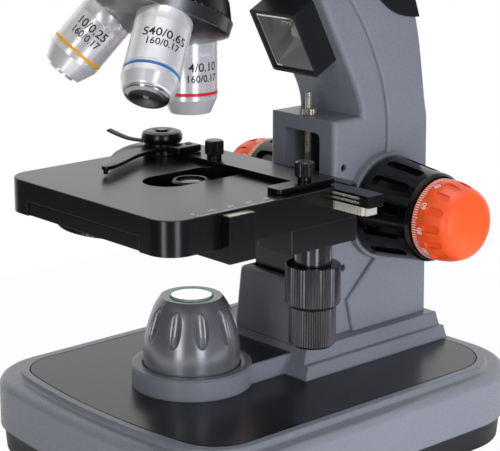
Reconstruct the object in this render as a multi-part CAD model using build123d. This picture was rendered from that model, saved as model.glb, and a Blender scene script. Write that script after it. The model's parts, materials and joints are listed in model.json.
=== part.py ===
from build123d import *
import math
import os

os.makedirs("parts", exist_ok=True)

# Upright compound microscope. Millimetres, +Z up, bench at z = 0, the user sits at -Y.
# While it is modelled the optical axis is x = y = 0; at the end everything is shifted along Y
# so that the whole object stands centred over the origin.

# Fits
seat_gap = 0.3  # bare gap between a piece and what it only stands near
running_gap = 0.05  # radial play of a shaft in its bore

# Base
base_height = 40.0  # bench to the black top plate
plate_half_width = 70.6
plate_front = -45.6
plate_back = 130.7
plate_corner = 20.0
plate_rear_corner = 26.0
plate_bow = 7.8  # how far the front edge bulges
plate_thick = 2.5
plate_groove = 0.5  # dark line between plate and rim
rim_width = 3.6
casing_reach = 13.5  # plate edge to the casing's outer side
casing_shoulder_drop = 2.4
casing_cove = 1.8
shoulder_round = 3.4
casing_bottom = 15.5
casing_roof = 5.0
casing_wall = 11.0
tray_inset = 1.5
tray_draft = 5.0
tray_bottom = 4.0
tray_floor = 3.0
tray_wall = 9.0
foot_radius = 9.0
foot_round = 1.2
foot_inset_x = 66.0
foot_front = -38.0
foot_back = 112.0

# Dimmer wheel and low-voltage inlet, on the sides the photograph hides
wheel_radius = 10.0
wheel_thick = 4.0
wheel_y = 60.0
wheel_z = casing_bottom + 9.5
wheel_proud = 2.5
wheel_ribs = 30
wheel_rib_depth = 0.5
wheel_axle = 2.0
inlet_x = -34.0
inlet_z = casing_bottom + 9.5
inlet_radius = 5.5
inlet_bore = 2.9
inlet_flange = 7.5
inlet_flange_thick = 1.5
inlet_length = 14.0
inlet_bore_depth = 9.0
inlet_pin_radius = 0.9

# Arm foot: stepped plinth, neck and lamp ring
plinth_half_width = 35.1
plinth_front = 38.2
plinth_back = 134.0
plinth_step = 6.0
plinth_ledge = 2.5
plinth_draft = 2.1
plinth_back_draft = 0.4
plinth_lean = 0.52  # run of the plinth's front per unit of height
block_lean = 0.12  # the same for the arm's block above it
ring_radius = 27.3
neck_half_width = 20.8
neck_height = 9.4
neck_fillet = 3.0
neck_edge = 0.3
pad_thick = 0.8
pad_inset = 0.5

# Lamp hood on the ring
hood_radius = 21.9
hood_height = 31.6
hood_skirt = 6.0  # upright part at the foot
hood_belly = 1.3  # how far the side has come in a little above its middle
hood_top_radius = 13.9
hood_wall = 2.6
hood_roof = 4.5
hood_sink = 1.5
hood_flutes = 10
flute_phase = 9.0
flute_height = 21.8
flute_inset = 2.5
flute_tilt = 20.0
flute_length = 8.8
flute_width = 3.4
flute_depth = 2.4
lens_radius = 9.3
lens_thick = 3.0
lens_dome = 0.6
lens_ledge = 2.0

# Arm
arm_half_width = 21.5
panel_half_width = 23.4
panel_round = 1.2
block_front_top_y = 47.9
block_top_z = base_height + 41.5
pillar_front_y = 67.7
shelf_z = base_height + 114.2
shelf_back_y = 86.2
facet_low = (80.6, base_height + 130.5)
facet_high = (58.2, base_height + 172.4)
nose_bottom_z = base_height + 186.0
nose_top_z = nose_bottom_z + 26.0
nose_radius = 31.0
nose_root_y = 40.0
knee_z = base_height + 100.0  # below it the arm's back is straight
window_half_width = 12.0
window_top_z = base_height + 107.3
window_corner = 3.0
cavity_floor_z = base_height + 18.0
cavity_back_y = 110.0
recess_half_width = 18.0
recess_front_y = 52.5
recess_floor_z = base_height + 14.5
edge_round = 2.6
grip_proud = 1.0
side_hole_radius = 1.6
side_hole_depth = 3.0
side_holes = ((74.0, base_height + 92.0), (74.5, base_height + 44.0))

# Focus drive, axis along X
focus_y = 101.0
focus_z = base_height + 70.2
boss_radius = 25.6
boss_proud = 1.6
coarse_radius = 24.2
coarse_end_radius = 20.7
coarse_length = 30.6
coarse_tube = 5.0
coarse_recesses = 12
coarse_recess_width = 5.0
coarse_recess_depth = 2.1
fine_radius = 18.7
fine_length = 20.2
fine_band = 6.5  # plain cylinder at the knob's foot
fine_face_radius = 12.0
fine_shaft_radius = 3.0
fine_recesses = 14
fine_recess_width = 3.6
fine_recess_depth = 1.5
focus_module = 0.6
focus_teeth = 20
focus_gear_half = 5.0
focus_rack_width = 8.0
focus_rack_depth = 3.4

# Stop screw and guide rods in the arm's window
stop_y = 72.0
stop_radius = 1.35
stop_end_z = base_height + 96.5
stop_top_z = base_height + 125.0
stop_nut_radius = 3.85
stop_nut_height = 2.8
guide_radius = 1.8
guide_x = -7.0
guide_y = 79.0

# Stage
lower_half_width = 38.6
y_rack_depth = 5.65
drive_module = 0.5
drive_teeth = 13
drive_pitch = drive_module * drive_teeth / 2
knob_x = lower_half_width + y_rack_depth + drive_pitch
stage_top_z = base_height + 95.6
stage_half_width = knob_x + 9.8
stage_front = -60.1
stage_back = 48.0
stage_skirt = 15.25
stage_deck = 5.0
stage_wall = 4.0
stage_corner = 11.5
stage_rear_corner = 3.0
stage_edge = 0.6
lower_lift = 0.35  # underside of the lower plate above the skirt's edge
lower_thick = 4.9
lower_lip = 0.9
slot_width = 22.4
slot_length = 48.0
condenser_radius = 8.6
condenser_bore = 6.5
condenser_top_drop = 1.1
condenser_dome = 0.9
vernier_front = -31.7
vernier_back = -17.4
vernier_gap = 0.5
vernier_thick = 4.4
vernier_foot = 9.0  # how far its foot reaches under the lower plate
vernier_bottom_z = base_height + 74.5
vernier_top_z = stage_top_z - 1.4
disc_center = (-11.0, -22.0)
disc_radius = 35.0
disc_thick = 2.5
disc_gap = 0.6
disc_ribs = 90
disc_rib_depth = 0.5
disc_hole_radii = (5.5, 4.0, 2.5, 1.5, 7.0)
disc_pivot_radius = 2.0
disc_head_radius = 5.0
disc_head_thick = 1.8

# Stage carriage on the focus slide
bracket_left = -18.5
bracket_right = 30.0
bracket_front = 15.0
bracket_bottom_z = base_height + 68.0
bracket_hole_radius = 1.6
bracket_hole_depth = 4.0
bracket_holes = (bracket_left + 6.5, bracket_right - 6.0)
carriage_half_width = 16.0
carriage_front = 53.5
carriage_bottom_z = base_height + 28.0
carriage_top_z = base_height + 77.0
tongue_left = -4.5
tongue_right = 9.0
tongue_top_z = base_height + 87.5

# Coaxial stage drive
knob_y = 29.7
housing_left = knob_x - 12.5
housing_right = knob_x + 8.8
housing_front = 8.3
housing_bottom_z = base_height + 69.7
housing_edge = 1.0
bush_radius = 8.0
upper_knurl_radius = 12.2
upper_knurl_top_z = base_height + 60.4
upper_knurl_height = 18.4
lower_knurl_radius = 10.4
lower_knurl_height = 18.0
knurl_gap = 0.5
knurl_ribs = 56
knurl_depth = 0.45
knurl_bevel = 1.3
knurl_top_bevel = 0.4
tube_radius = 4.0
spindle_radius = 1.9
gear_gap = 0.6
y_rack_reach = 14.0

# Cross slide, rack and slide holder
bar_left = -22.0
bar_right = 78.2
bar_front = 32.0
bar_back = 41.4
bar_height = 5.1
bar_top_drop = 0.3
bar_side_gap = 0.3
rack_left = 24.0
rack_right = 75.4
rack_height = 4.0
rack_depth = 7.0
rail_radius = 0.6
cross_travel = 15.0
holder_thick = 2.1
holder_front = 20.5
holder_back = 37.5
holder_right = 52.0
pivot_x = -47.0
pivot_y = 22.0
pivot_radius = 2.5
boss_cap_radius = 9.1
boss_cap_height = 8.0
screw_radius = 4.3
screw_height = 8.5
screw_hole_radius = 1.5
screw_ribs = 24
screw_rib_depth = 0.4
screw_spots = ((-13.5, 25.5), (46.0, 25.5))
finger_thick = 2.0
lever_lift = 2.4

# Upper lamp on the arm's front facet
lamp_half_width = 15.0
lamp_tall = 33.5
lamp_deep = 13.2
lamp_wall = 1.6
lamp_from_facet_low = 11.6
lamp_corner = 1.6
lamp_floor = 1.5
lamp_lip = 1.0  # mouth of the funnel below the lamp's rim
reflector_thick = 0.8
led_radius = 3.0
led_height = 2.0
led_seat = led_radius + 1.5

# Revolving nosepiece: its axis leans forward so that the working objective hangs upright
lean = 24.0
apex_z = nose_bottom_z + 21.96
shoulder_length = 54.75
mount_start = 25.0
mount_radius = 26.5
mount_skirt = 11.0
ring_start = 29.0
grip_ring_radius = 31.0
grip_ring_top_radius = 27.5
grip_ring_height = 8.0
grip_ring_bore = 24.0
grip_ring_ribs = 60
grip_rib_depth = 0.6
dish_radius = 31.6
dish_band = 5.6
dish_hub = 9.0
boss_out_radius = 11.2
spigot_radius = 9.0
spigot_length = 4.0
boss_length = 7.0
barrel_radius = 12.0
band_width = 1.25
band_depth = 0.35
low_band = 19.6
middle_band = 19.1
high_band = 22.7
high_end = 32.5
tip_radius = 9.4
tip_sunk = 6.5
nose_stroke = 2.0

# Head with inclined eyepiece tube
head_radius = 27.0
head_height = 30.0
head_gap = 0.3
head_spigot_radius = 20.0
head_spigot_depth = 5.0
tube_angle = 45.0
tube_origin_z = nose_top_z + 21.0
tube_sleeve_radius = 17.5
tube_sleeve_end = 38.0
eye_tube_radius = 14.0
eye_tube_end = 82.0
eye_tube_bore = 11.7
eye_barrel_radius = 11.6
eye_barrel_sunk = 22.0
eye_flange_radius = 15.6
eye_body_length = 20.0
eyecup_length = 9.0
eyecup_radius = 17.0
eye_lens_radius = 9.0
eye_lens_sunk = 4.0
sleeve_depth = 12.0
clamp_radius = 2.0
clamp_sunk = 3.0
clamp_head_radius = 5.0
clamp_z = nose_bottom_z + 19.0


def box(x0, x1, y0, y1, z0, z1):
    block = Box(x1 - x0, y1 - y0, z1 - z0)
    return Pos((x0 + x1) / 2, (y0 + y1) / 2, (z0 + z1) / 2) * block


def upright(x, y, z0, z1, radius):
    return Pos(x, y, z0) * grown(radius, z1 - z0)


def crosswise(x0, x1, y, z, radius):
    return Pos(x0, y, z) * Rot(0, 90, 0) * grown(radius, x1 - x0)


def grown(radius, length):
    return Cylinder(radius, length, align=(Align.CENTER, Align.CENTER, Align.MIN))


def turned(points):
    face = Plane.XZ * make_face(Polyline(*points, close=True))
    return revolve(face, Axis.Z)


def side_profile(face):
    return Plane.YZ * face


def domed_disc(radius, z0, edge_z, height):
    # Lens turned about Z: flat underside, upright edge, dome of a true sphere.
    sphere = (radius ** 2 + height ** 2) / (2 * height)
    halfway = edge_z + height - sphere + math.sqrt(sphere ** 2 - radius ** 2 / 4)
    side = Polyline((0, edge_z + height), (0, z0), (radius, z0), (radius, edge_z))
    side += ThreePointArc((radius, edge_z), (radius / 2, halfway), (0, edge_z + height))
    return revolve(Plane.XZ * make_face(side), Axis.Z)


def knurled(radius, depth, ribs, height):
    points = []
    for i in range(2 * ribs):
        angle = math.pi * i / ribs
        reach = radius if i % 2 == 0 else radius - depth
        points.append((reach * math.cos(angle), reach * math.sin(angle)))
    return extrude(make_face(Polyline(*points, close=True)), height)


def pinion(module, teeth, height):
    pitch = module * teeth / 2
    points = []
    for i in range(teeth):
        middle = 2 * math.pi * i / teeth
        for radius, half in ((pitch - 1.25 * module, 0.95), (pitch, 0.56), (pitch + 0.9 * module, 0.22)):
            points.append((radius, middle - half * module / radius))
        for radius, half in ((pitch + 0.9 * module, 0.22), (pitch, 0.56), (pitch - 1.25 * module, 0.95)):
            points.append((radius, middle + half * module / radius))
    flat = [(r * math.cos(a), r * math.sin(a)) for r, a in points]
    return extrude(make_face(Polyline(*flat, close=True)), height)


def toothed_bar(module, start, end, depth, height, mesh_at):
    # Bar along local X with its teeth towards local -Y; the pitch line is local y = 0.
    # A gap between two teeth stands at local x = mesh_at.
    pitch = math.pi * module
    first = math.ceil((start - mesh_at) / pitch + 0.5)
    last = math.floor((end - mesh_at) / pitch - 0.5)
    points = [(start, depth), (start, 1.25 * module)]
    for i in range(first, last):
        middle = mesh_at + (i + 0.5) * pitch
        points.append((middle - 0.95 * module, 1.25 * module))
        points.append((middle - 0.28 * module, -0.9 * module))
        points.append((middle + 0.28 * module, -0.9 * module))
        points.append((middle + 0.95 * module, 1.25 * module))
    points += [(end, 1.25 * module), (end, depth)]
    return extrude(make_face(Polyline(*points, close=True)), height)


def base_outline(margin):
    half = plate_half_width + margin
    front = plate_front - margin
    back = plate_back + margin
    wire = Line((half, front), (half, back)) + Line((half, back), (-half, back))
    wire += Line((-half, back), (-half, front))
    wire += ThreePointArc((-half, front), (0, front - plate_bow), (half, front))
    face = make_face(wire)
    face = fillet(face.vertices().group_by(Axis.Y)[-1], plate_rear_corner + margin)
    return fillet(face.vertices().group_by(Axis.Y)[0], plate_corner + margin)


def base_slab(margin, z0, z1):
    return Pos(0, 0, z0) * extrude(base_outline(margin), z1 - z0)


casing_back = plate_back + casing_reach
wheel_x = -(plate_half_width + casing_reach + wheel_proud - wheel_radius)


def level_face(body, z):
    return body.faces().filter_by(Axis.Z).filter_by_position(Axis.Z, z - 0.01, z + 0.01)[0]


def base_casing():
    shoulder_z = base_height - casing_shoulder_drop
    body = base_slab(casing_reach, casing_bottom, shoulder_z)
    body += base_slab(plate_groove + rim_width, shoulder_z, base_height)
    body = fillet(level_face(body, shoulder_z).outer_wire().edges(), shoulder_round)
    body = fillet(level_face(body, shoulder_z).inner_wires()[0].edges(), casing_cove)
    body -= base_slab(plate_groove, base_height - plate_thick, base_height + 1)
    roof = base_height - plate_thick - casing_roof
    body -= base_slab(casing_reach - casing_wall, casing_bottom - 1, roof)
    near, far = wheel_y - wheel_radius, wheel_y + wheel_radius
    inside = wheel_x + wheel_radius + 1
    body -= box(wheel_x - 2 * wheel_radius, inside, near, far, wheel_z - wheel_thick, wheel_z + wheel_thick)
    body -= box(wheel_x - wheel_axle - 1.5, inside, near, far, casing_bottom - 1, wheel_z + wheel_thick)
    body -= Pos(inlet_x, casing_back + 1, inlet_z) * Rot(90, 0, 0) * grown(inlet_radius, 2 * casing_wall)
    return body


def base_plate():
    return base_slab(0, base_height - plate_thick, base_height)


def base_tray():
    margin = casing_reach - tray_inset
    deep = casing_bottom - tray_bottom
    body = Pos(0, 0, casing_bottom) * Rot(180, 0, 0) * extrude(
        mirror(base_outline(margin), about=Plane.XZ), deep, taper=tray_draft)
    body -= base_slab(margin - tray_wall, tray_bottom + tray_floor, casing_bottom + 1)
    body += upright(wheel_x, wheel_y, tray_bottom + tray_floor - 0.5, wheel_z + wheel_thick, wheel_axle)
    return body


def feet():
    pads = Part()
    for x in (-foot_inset_x, foot_inset_x):
        for y in (foot_front, foot_back):
            pad = upright(x, y, 0, tray_bottom, foot_radius)
            pads += fillet(pad.edges().group_by(Axis.Z)[0], foot_round)
    return pads


def dimmer_wheel():
    wheel = knurled(wheel_radius, wheel_rib_depth, wheel_ribs, wheel_thick)
    wheel -= Cylinder(wheel_axle + running_gap, 4 * wheel_thick)
    return Pos(wheel_x, wheel_y, wheel_z - wheel_thick / 2) * wheel


def power_inlet():
    body = grown(inlet_radius, inlet_length)
    body += Pos(0, 0, -inlet_flange_thick) * grown(inlet_flange, inlet_flange_thick)
    body -= Pos(0, 0, -2 * inlet_flange_thick) * grown(inlet_bore, inlet_bore_depth + 2 * inlet_flange_thick)
    body += grown(inlet_pin_radius, inlet_bore_depth + 1)
    return Pos(inlet_x, casing_back, inlet_z) * Rot(90, 0, 0) * body


def slab_between(low, high):
    # Loft between two level rectangles given as (half width, front, back, z).
    faces = []
    for half, front, back, z in (low, high):
        faces.append(Pos(0, (front + back) / 2, z) * Rectangle(2 * half, back - front))
    return loft(faces)


plinth_top_z = base_height + 2 * plinth_step


def neck_plan(margin, reach):
    plan = Circle(ring_radius + margin) + Pos(0, reach / 2) * Rectangle(2 * (neck_half_width + margin), reach)
    hollow = plan.vertices().filter_by_position(Axis.Y, ring_radius / 3, ring_radius)
    return fillet(hollow, neck_fillet)


def arm_foot():
    mid_z = base_height + plinth_step
    run = plinth_lean * plinth_step
    low = (plinth_half_width, plinth_front, plinth_back, base_height)
    mid = (plinth_half_width - plinth_draft, plinth_front + run, plinth_back - plinth_back_draft, mid_z)
    body = slab_between(low, mid)
    half = plinth_half_width - plinth_draft - plinth_ledge
    back = plinth_back - 2 * plinth_back_draft
    step = (half, plinth_front + run, back, mid_z)
    top = (half - plinth_draft, plinth_front + 2 * run, back - plinth_back_draft, plinth_top_z)
    body += slab_between(step, top)
    neck = Pos(0, 0, base_height) * extrude(neck_plan(0, plinth_front + 2 * plinth_step), neck_height)
    body += chamfer(neck.edges().group_by(Axis.Z)[-1], neck_edge)
    top_z = base_height + neck_height
    body -= upright(0, 0, top_z - hood_sink, top_z + 1, hood_radius + seat_gap)
    return body - neck_pad_blank(running_gap)


def neck_pad_blank(gap):
    top_z = base_height + neck_height
    reach = plinth_front + plinth_lean * (neck_height - pad_thick) - seat_gap
    pad = Pos(0, 0, top_z - pad_thick) * extrude(neck_plan(gap - pad_inset, reach + gap), pad_thick)
    return pad - upright(0, 0, base_height, top_z + 1, hood_radius + seat_gap)


def neck_pad():
    return neck_pad_blank(0)


def lamp_hood():
    z0 = base_height + neck_height - hood_sink
    z1 = z0 + hood_height + hood_sink
    outer = Line((0, z0), (hood_radius, z0)) + Line((hood_radius, z0), (hood_radius, z0 + hood_skirt))
    outer += Spline((hood_radius, z0 + hood_skirt), (hood_radius - hood_belly, z0 + 0.56 * hood_height),
                    (hood_top_radius, z1), tangents=[(0, 1), (-1, 1.25)])
    outer += Line((hood_top_radius, z1), (0, z1)) + Line((0, z1), (0, z0))
    body = revolve(Plane.XZ * make_face(outer), Axis.Z)
    inner = hood_radius - hood_wall
    body -= turned([(0, z0 - 1), (inner, z0 - 1), (inner - 0.2 * hood_wall, z0 + hood_skirt),
                    (inner - 1.8 * hood_wall, z0 + 0.6 * hood_height),
                    (hood_top_radius - 2 * hood_wall, z1 - hood_roof), (0, z1 - hood_roof)])
    body -= upright(0, 0, z1 - lens_thick, z1 + 1, lens_radius + running_gap)
    body -= upright(0, 0, z1 - hood_roof - 1, z1 + 1, lens_radius - lens_ledge)
    right_half = Pos(flute_depth, 0) * Rectangle(2 * flute_depth, 3 * flute_length)
    half_oval = Ellipse(flute_depth, flute_length) & right_half
    flute = scale(revolve(Plane.XZ * half_oval, Axis.Z), (1, flute_width / flute_depth, 1))
    flute = Pos(hood_radius - flute_inset, 0, z0 + flute_height) * Rot(0, -flute_tilt, 0) * flute
    for i in range(hood_flutes):
        body -= Rot(0, 0, flute_phase + i * 360 / hood_flutes) * flute
    return body


def lamp_lens():
    top = base_height + neck_height + hood_height
    return domed_disc(lens_radius, top - lens_thick, top, lens_dome)


facet_length = math.hypot(facet_high[0] - facet_low[0], facet_high[1] - facet_low[1])
facet_dir = ((facet_high[0] - facet_low[0]) / facet_length, (facet_high[1] - facet_low[1]) / facet_length)
nose_root = (nose_root_y, nose_bottom_z)


def up_the_arm(y, share):
    # Place beside the arm, with its height as a share of the way from the knee to the nose's top.
    return (y, knee_z + share * (nose_top_z - knee_z))


back_shape = ((60.0, 1), (88.0, 0.915), (107.5, 0.732), (118.6, 0.529), (122.8, 0.375), (127.6, 0.124), (128.7, 0))
back_points = [up_the_arm(y, share) for y, share in back_shape]
back_foot = (130.5, plinth_top_z)
back_middle = up_the_arm(60.0, 0.3125)
crease_shape = ((101.5, -0.025), (98.6, 0.232), (92.6, 0.375), (75.5, 0.6205), (52.0, 0.8125))
crease = [up_the_arm(y, share) for y, share in crease_shape]
low_edge = [(80.3, plinth_top_z), (76.1, base_height + 28.0), (95.0, base_height + 46.0)]
grip_edge = [up_the_arm(y, share) for y, share in ((78.0, 0.857), (93.0, 0.616), (104.0, 0.548), (118.0, 0.521),
                                                   (134.0, 0.531))]
panel_nose_z = nose_top_z - 10.0


def back_curve(proud):
    # Top and back of the arm, moved outwards by proud.
    points = []
    for y, z in back_points:
        away = math.hypot(y - back_middle[0], z - back_middle[1])
        points.append((y + proud * (y - back_middle[0]) / away, z + proud * (z - back_middle[1]) / away))
    curve = Line((0, nose_top_z), points[0])
    curve += Spline(*points, tangents=[(1, 0), (0, -1)])
    curve += Line(points[-1], back_foot)
    return curve


def core_face():
    block_foot = (block_front_top_y - block_lean * (block_top_z - plinth_top_z), plinth_top_z)
    wire = Polyline((0, nose_bottom_z), (0, nose_top_z))
    wire += back_curve(0)
    wire += Polyline(back_foot, block_foot, (block_front_top_y, block_top_z), (pillar_front_y, block_top_z),
                     (pillar_front_y, shelf_z), (shelf_back_y, shelf_z))
    wire += Spline((shelf_back_y, shelf_z), facet_low, tangents=[(-0.05, 1), facet_dir])
    wire += Line(facet_low, facet_high)
    wire += Spline(facet_high, nose_root, tangents=[facet_dir, (-1, 0)])
    wire += Line(nose_root, (0, nose_bottom_z))
    return make_face(wire)


def panel_face(proud):
    wire = Polyline((0, panel_nose_z), (0, nose_top_z))
    wire += back_curve(proud)
    wire += Polyline(back_foot, *low_edge, crease[0])
    wire += Spline(*crease)
    wire += Line(crease[-1], (0, panel_nose_z))
    return make_face(wire)


def nosepiece_plane(along):
    s = math.sin(math.radians(lean))
    c = math.cos(math.radians(lean))
    return Plane(origin=(0, -s * along, apex_z - c * along), x_dir=(1, 0, 0), z_dir=(0, -s, -c))


def side_edges(body, half):
    edges = body.edges().filter_by_position(Axis.X, half - 0.01, half + 0.01)
    return edges + body.edges().filter_by_position(Axis.X, -half - 0.01, -half + 0.01)


def arm_blank():
    core = extrude(side_profile(core_face()), arm_half_width, both=True)
    front = side_edges(core, arm_half_width).filter_by_position(Axis.Y, nose_root_y + 1, shelf_back_y + 1)
    front = front.filter_by_position(Axis.Z, plinth_top_z + 1, facet_high[1] + 1)
    level = core.edges().filter_by(Axis.X)
    brow = level.filter_by_position(Axis.Y, block_front_top_y - 0.1, block_front_top_y + 0.1)
    core = fillet(front + brow, edge_round)
    panel = extrude(side_profile(panel_face(0)), panel_half_width, both=True)
    rims = side_edges(panel, panel_half_width).filter_by_position(Axis.Z, plinth_top_z + 0.5, nose_top_z + 1)
    body = core + fillet(rims, panel_round)
    body += upright(0, 0, nose_bottom_z, nose_top_z, nose_radius)
    body += nosepiece_plane(mount_start - mount_skirt) * grown(mount_radius + 1.0, mount_skirt)
    for side in (-1, 1):
        ends = sorted((side * (arm_half_width - 2), side * (panel_half_width + boss_proud)))
        body += crosswise(ends[0], ends[1], focus_y, focus_z, boss_radius)
    return body


def arm():
    body = arm_blank()
    body -= nosepiece_plane(mount_start) * grown(nose_radius + mount_skirt, 2 * nose_radius)
    opening = Pos(0, (cavity_floor_z + window_top_z) / 2) * Rectangle(
        2 * window_half_width, window_top_z - cavity_floor_z)
    opening = fillet(opening.vertices().group_by(Axis.Y)[-1], window_corner)
    front = recess_front_y + 5
    body -= Plane(origin=(0, front, 0), x_dir=(1, 0, 0), z_dir=(0, 1, 0)) * mirror(
        extrude(opening, cavity_back_y - front), about=Plane.XZ)
    body -= box(-recess_half_width, recess_half_width, recess_front_y, pillar_front_y, recess_floor_z,
                block_top_z + 1)
    body -= upright(0, stop_y, window_top_z - 1, shelf_z + 1, stop_radius + running_gap)
    body -= upright(0, 0, nose_top_z - head_spigot_depth, nose_top_z + 1, head_spigot_radius + running_gap)
    reach = panel_half_width + boss_proud + 1
    body -= crosswise(-reach, reach, focus_y, focus_z, coarse_tube + running_gap)
    for y, z in side_holes:
        for side in (-1, 1):
            ends = sorted((side * (arm_half_width - side_hole_depth), side * (arm_half_width + 3)))
            body -= crosswise(ends[0], ends[1], y, z, side_hole_radius)
    return body


def arm_grip(solid_arm):
    shell = extrude(side_profile(panel_face(grip_proud)), panel_half_width + grip_proud, both=True)
    above = nose_top_z + 10
    zone = Polyline((grip_edge[0][0] - 8, above), grip_edge[0]) + Spline(*grip_edge)
    zone += Polyline(grip_edge[-1], (grip_edge[-1][0] + 6, above), (grip_edge[0][0] - 8, above))
    shell = shell & extrude(side_profile(make_face(zone)), panel_half_width + 5, both=True)
    return shell - solid_arm


def coarse_shaft():
    inner = panel_half_width + boss_proud + seat_gap + coarse_length
    body = crosswise(-inner, inner, focus_y, focus_z, coarse_tube)
    gear = Pos(-focus_gear_half, focus_y, focus_z) * Rot(0, 90, 0) * Rot(0, 0, 90) * pinion(
        focus_module, focus_teeth, 2 * focus_gear_half)
    body += gear
    return body - crosswise(-inner - 1, inner + 1, focus_y, focus_z, fine_shaft_radius + running_gap)


def lying(body):
    # A piece turned about local Z is laid along +X on the focus axis.
    return Pos(0, focus_y, focus_z) * Rot(0, 90, 0) * body


knob_start = panel_half_width + boss_proud + seat_gap


def coarse_knob():
    end = knob_start + coarse_length
    body = turned([(coarse_tube, knob_start), (coarse_radius - 0.8, knob_start), (coarse_radius, knob_start + 1.2),
                   (coarse_end_radius, end - 1.5), (coarse_end_radius - 1.2, end), (coarse_tube, end)])
    middle = (coarse_radius + coarse_end_radius) / 2
    taper = math.degrees(math.atan2(coarse_radius - coarse_end_radius, coarse_length))
    slot = Plane.YZ * SlotOverall(coarse_length * 0.68, coarse_recess_width, rotation=90)
    groove = Pos(middle, 0, knob_start + coarse_length / 2) * Rot(0, -taper, 0) * Pos(
        -coarse_recess_depth, 0, 0) * extrude(slot, 2 * coarse_recess_depth)
    for i in range(coarse_recesses):
        body -= Rot(0, 0, (i + 0.5) * 360 / coarse_recesses) * groove
    return lying(body)


def fine_knob():
    start = knob_start + coarse_length + seat_gap
    end = start + fine_length
    side = Polyline((fine_shaft_radius, start), (fine_radius - 0.6, start), (fine_radius, start + 0.8),
                    (fine_radius, start + fine_band))
    side += Spline((fine_radius, start + fine_band), (fine_radius - 1.4, start + 0.68 * fine_length),
                   (fine_face_radius, end), tangents=[(0, 1), (-1, 0.25)])
    side += Polyline((fine_face_radius, end), (fine_shaft_radius, end), (fine_shaft_radius, start))
    body = revolve(Plane.XZ * make_face(side), Axis.Z)
    slot = Plane.YZ * SlotOverall(fine_length * 0.42, fine_recess_width, rotation=90)
    groove = Pos(fine_radius - fine_recess_depth, 0, start + 0.56 * fine_length) * Rot(0, -9, 0) * extrude(
        slot, 3 * fine_recess_depth)
    for i in range(fine_recesses):
        body -= Rot(0, 0, (i + 0.5) * 360 / fine_recesses) * groove
    return lying(body)


def fine_shaft():
    reach = knob_start + coarse_length + seat_gap + fine_length
    return crosswise(-reach, reach, focus_y, focus_z, fine_shaft_radius)


def stop_rod():
    return upright(0, stop_y, stop_end_z, stop_top_z, stop_radius)


def stop_nut():
    nut = knurled(stop_nut_radius, 0.4, 18, stop_nut_height)
    nut -= Cylinder(stop_radius, 20)
    return Pos(0, stop_y, shelf_z + seat_gap) * nut


def guide_rods():
    rods = Part()
    for x in (guide_x, -guide_x):
        rods += upright(x, guide_y, cavity_floor_z, window_top_z, guide_radius)
    return rods


skirt_z = stage_top_z - stage_skirt
lower_z = skirt_z + lower_lift
lower_top_z = lower_z + lower_thick


def focus_carriage():
    body = box(bracket_left, bracket_right, bracket_front, carriage_front + 1, bracket_bottom_z, lower_z)
    body += box(-carriage_half_width, carriage_half_width, carriage_front, pillar_front_y - seat_gap,
                carriage_bottom_z, carriage_top_z)
    half = window_half_width - seat_gap
    rack_back = focus_y - focus_module * focus_teeth / 2 - focus_rack_depth
    body += box(-half, half, pillar_front_y - 1, rack_back, carriage_bottom_z + 4, carriage_top_z)
    body += box(tongue_left, tongue_right, stop_y + 3, rack_back, carriage_top_z - 1, tongue_top_z)
    for x in (guide_x, -guide_x):
        body -= upright(x, guide_y, 0, stage_top_z, guide_radius + 2 * running_gap)
    for x in bracket_holes:
        hole = Rot(90, 0, 0) * Cylinder(bracket_hole_radius, 2 * bracket_hole_depth)
        body -= Pos(x, bracket_front, (bracket_bottom_z + lower_z) / 2) * hole
    return body


def focus_rack():
    pitch_y = focus_y - focus_module * focus_teeth / 2
    bar = toothed_bar(focus_module, carriage_bottom_z + 5, tongue_top_z - 1, focus_rack_depth, focus_rack_width,
                      focus_z)
    frame = Plane(origin=(-focus_rack_width / 2, pitch_y, 0), x_dir=(0, 0, 1), z_dir=(1, 0, 0))
    return frame * bar


def stage_lower():
    front = stage_front + 0.4
    body = box(-lower_half_width, lower_half_width, front, carriage_front, lower_z, lower_top_z)
    body += box(-lower_half_width, lower_half_width, front, front + 8, lower_z, lower_top_z + lower_lip)
    body -= upright(0, 0, lower_z - 1, lower_top_z + 1, condenser_radius)
    body -= upright(disc_center[0], disc_center[1], lower_z - 1, lower_top_z + 1, disc_pivot_radius)
    return body


def condenser_ring():
    top = stage_top_z - condenser_top_drop
    body = upright(0, 0, lower_z, top, condenser_radius)
    body = chamfer(body.edges().group_by(Axis.Z)[-1], 0.8)
    return body - upright(0, 0, lower_z - 1, top + 1, condenser_bore)


def condenser_lens():
    edge = stage_top_z - condenser_top_drop - 1.4
    return domed_disc(condenser_bore, edge - 4.5, edge, condenser_dome)


def vernier_block():
    start = stage_half_width + vernier_gap
    foot_top = skirt_z - lower_lift
    inner = lower_half_width - vernier_foot
    body = box(start, start + vernier_thick, vernier_front, vernier_back, vernier_bottom_z, vernier_top_z)
    body += box(inner, start + 1, vernier_front, vernier_back, vernier_bottom_z, foot_top)
    body += box(inner, lower_half_width - 1, vernier_front, vernier_back, foot_top - 1, lower_z)
    return body


def diaphragm_disc():
    top = lower_z - disc_gap
    body = knurled(disc_radius, disc_rib_depth, disc_ribs, disc_thick)
    body -= Cylinder(disc_pivot_radius + running_gap, 20)
    reach = math.hypot(disc_center[0], disc_center[1])
    heading = math.degrees(math.atan2(-disc_center[1], -disc_center[0]))
    for i, radius in enumerate(disc_hole_radii):
        body -= Rot(0, 0, heading + i * 360 / len(disc_hole_radii)) * Pos(reach, 0, 0) * Cylinder(radius, 20)
    return Pos(disc_center[0], disc_center[1], top - disc_thick) * body


def disc_pivot():
    under = lower_z - disc_gap - disc_thick - seat_gap
    body = upright(disc_center[0], disc_center[1], under, lower_top_z, disc_pivot_radius)
    return body + upright(disc_center[0], disc_center[1], under - disc_head_thick, under, disc_head_radius)


channel_front = bar_front - bar_side_gap
channel_back = bar_back + bar_side_gap
bar_top = stage_top_z - bar_top_drop
bar_bottom = bar_top - bar_height
rail_heights = (bar_bottom + 1.6, bar_bottom + 3.5)


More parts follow.
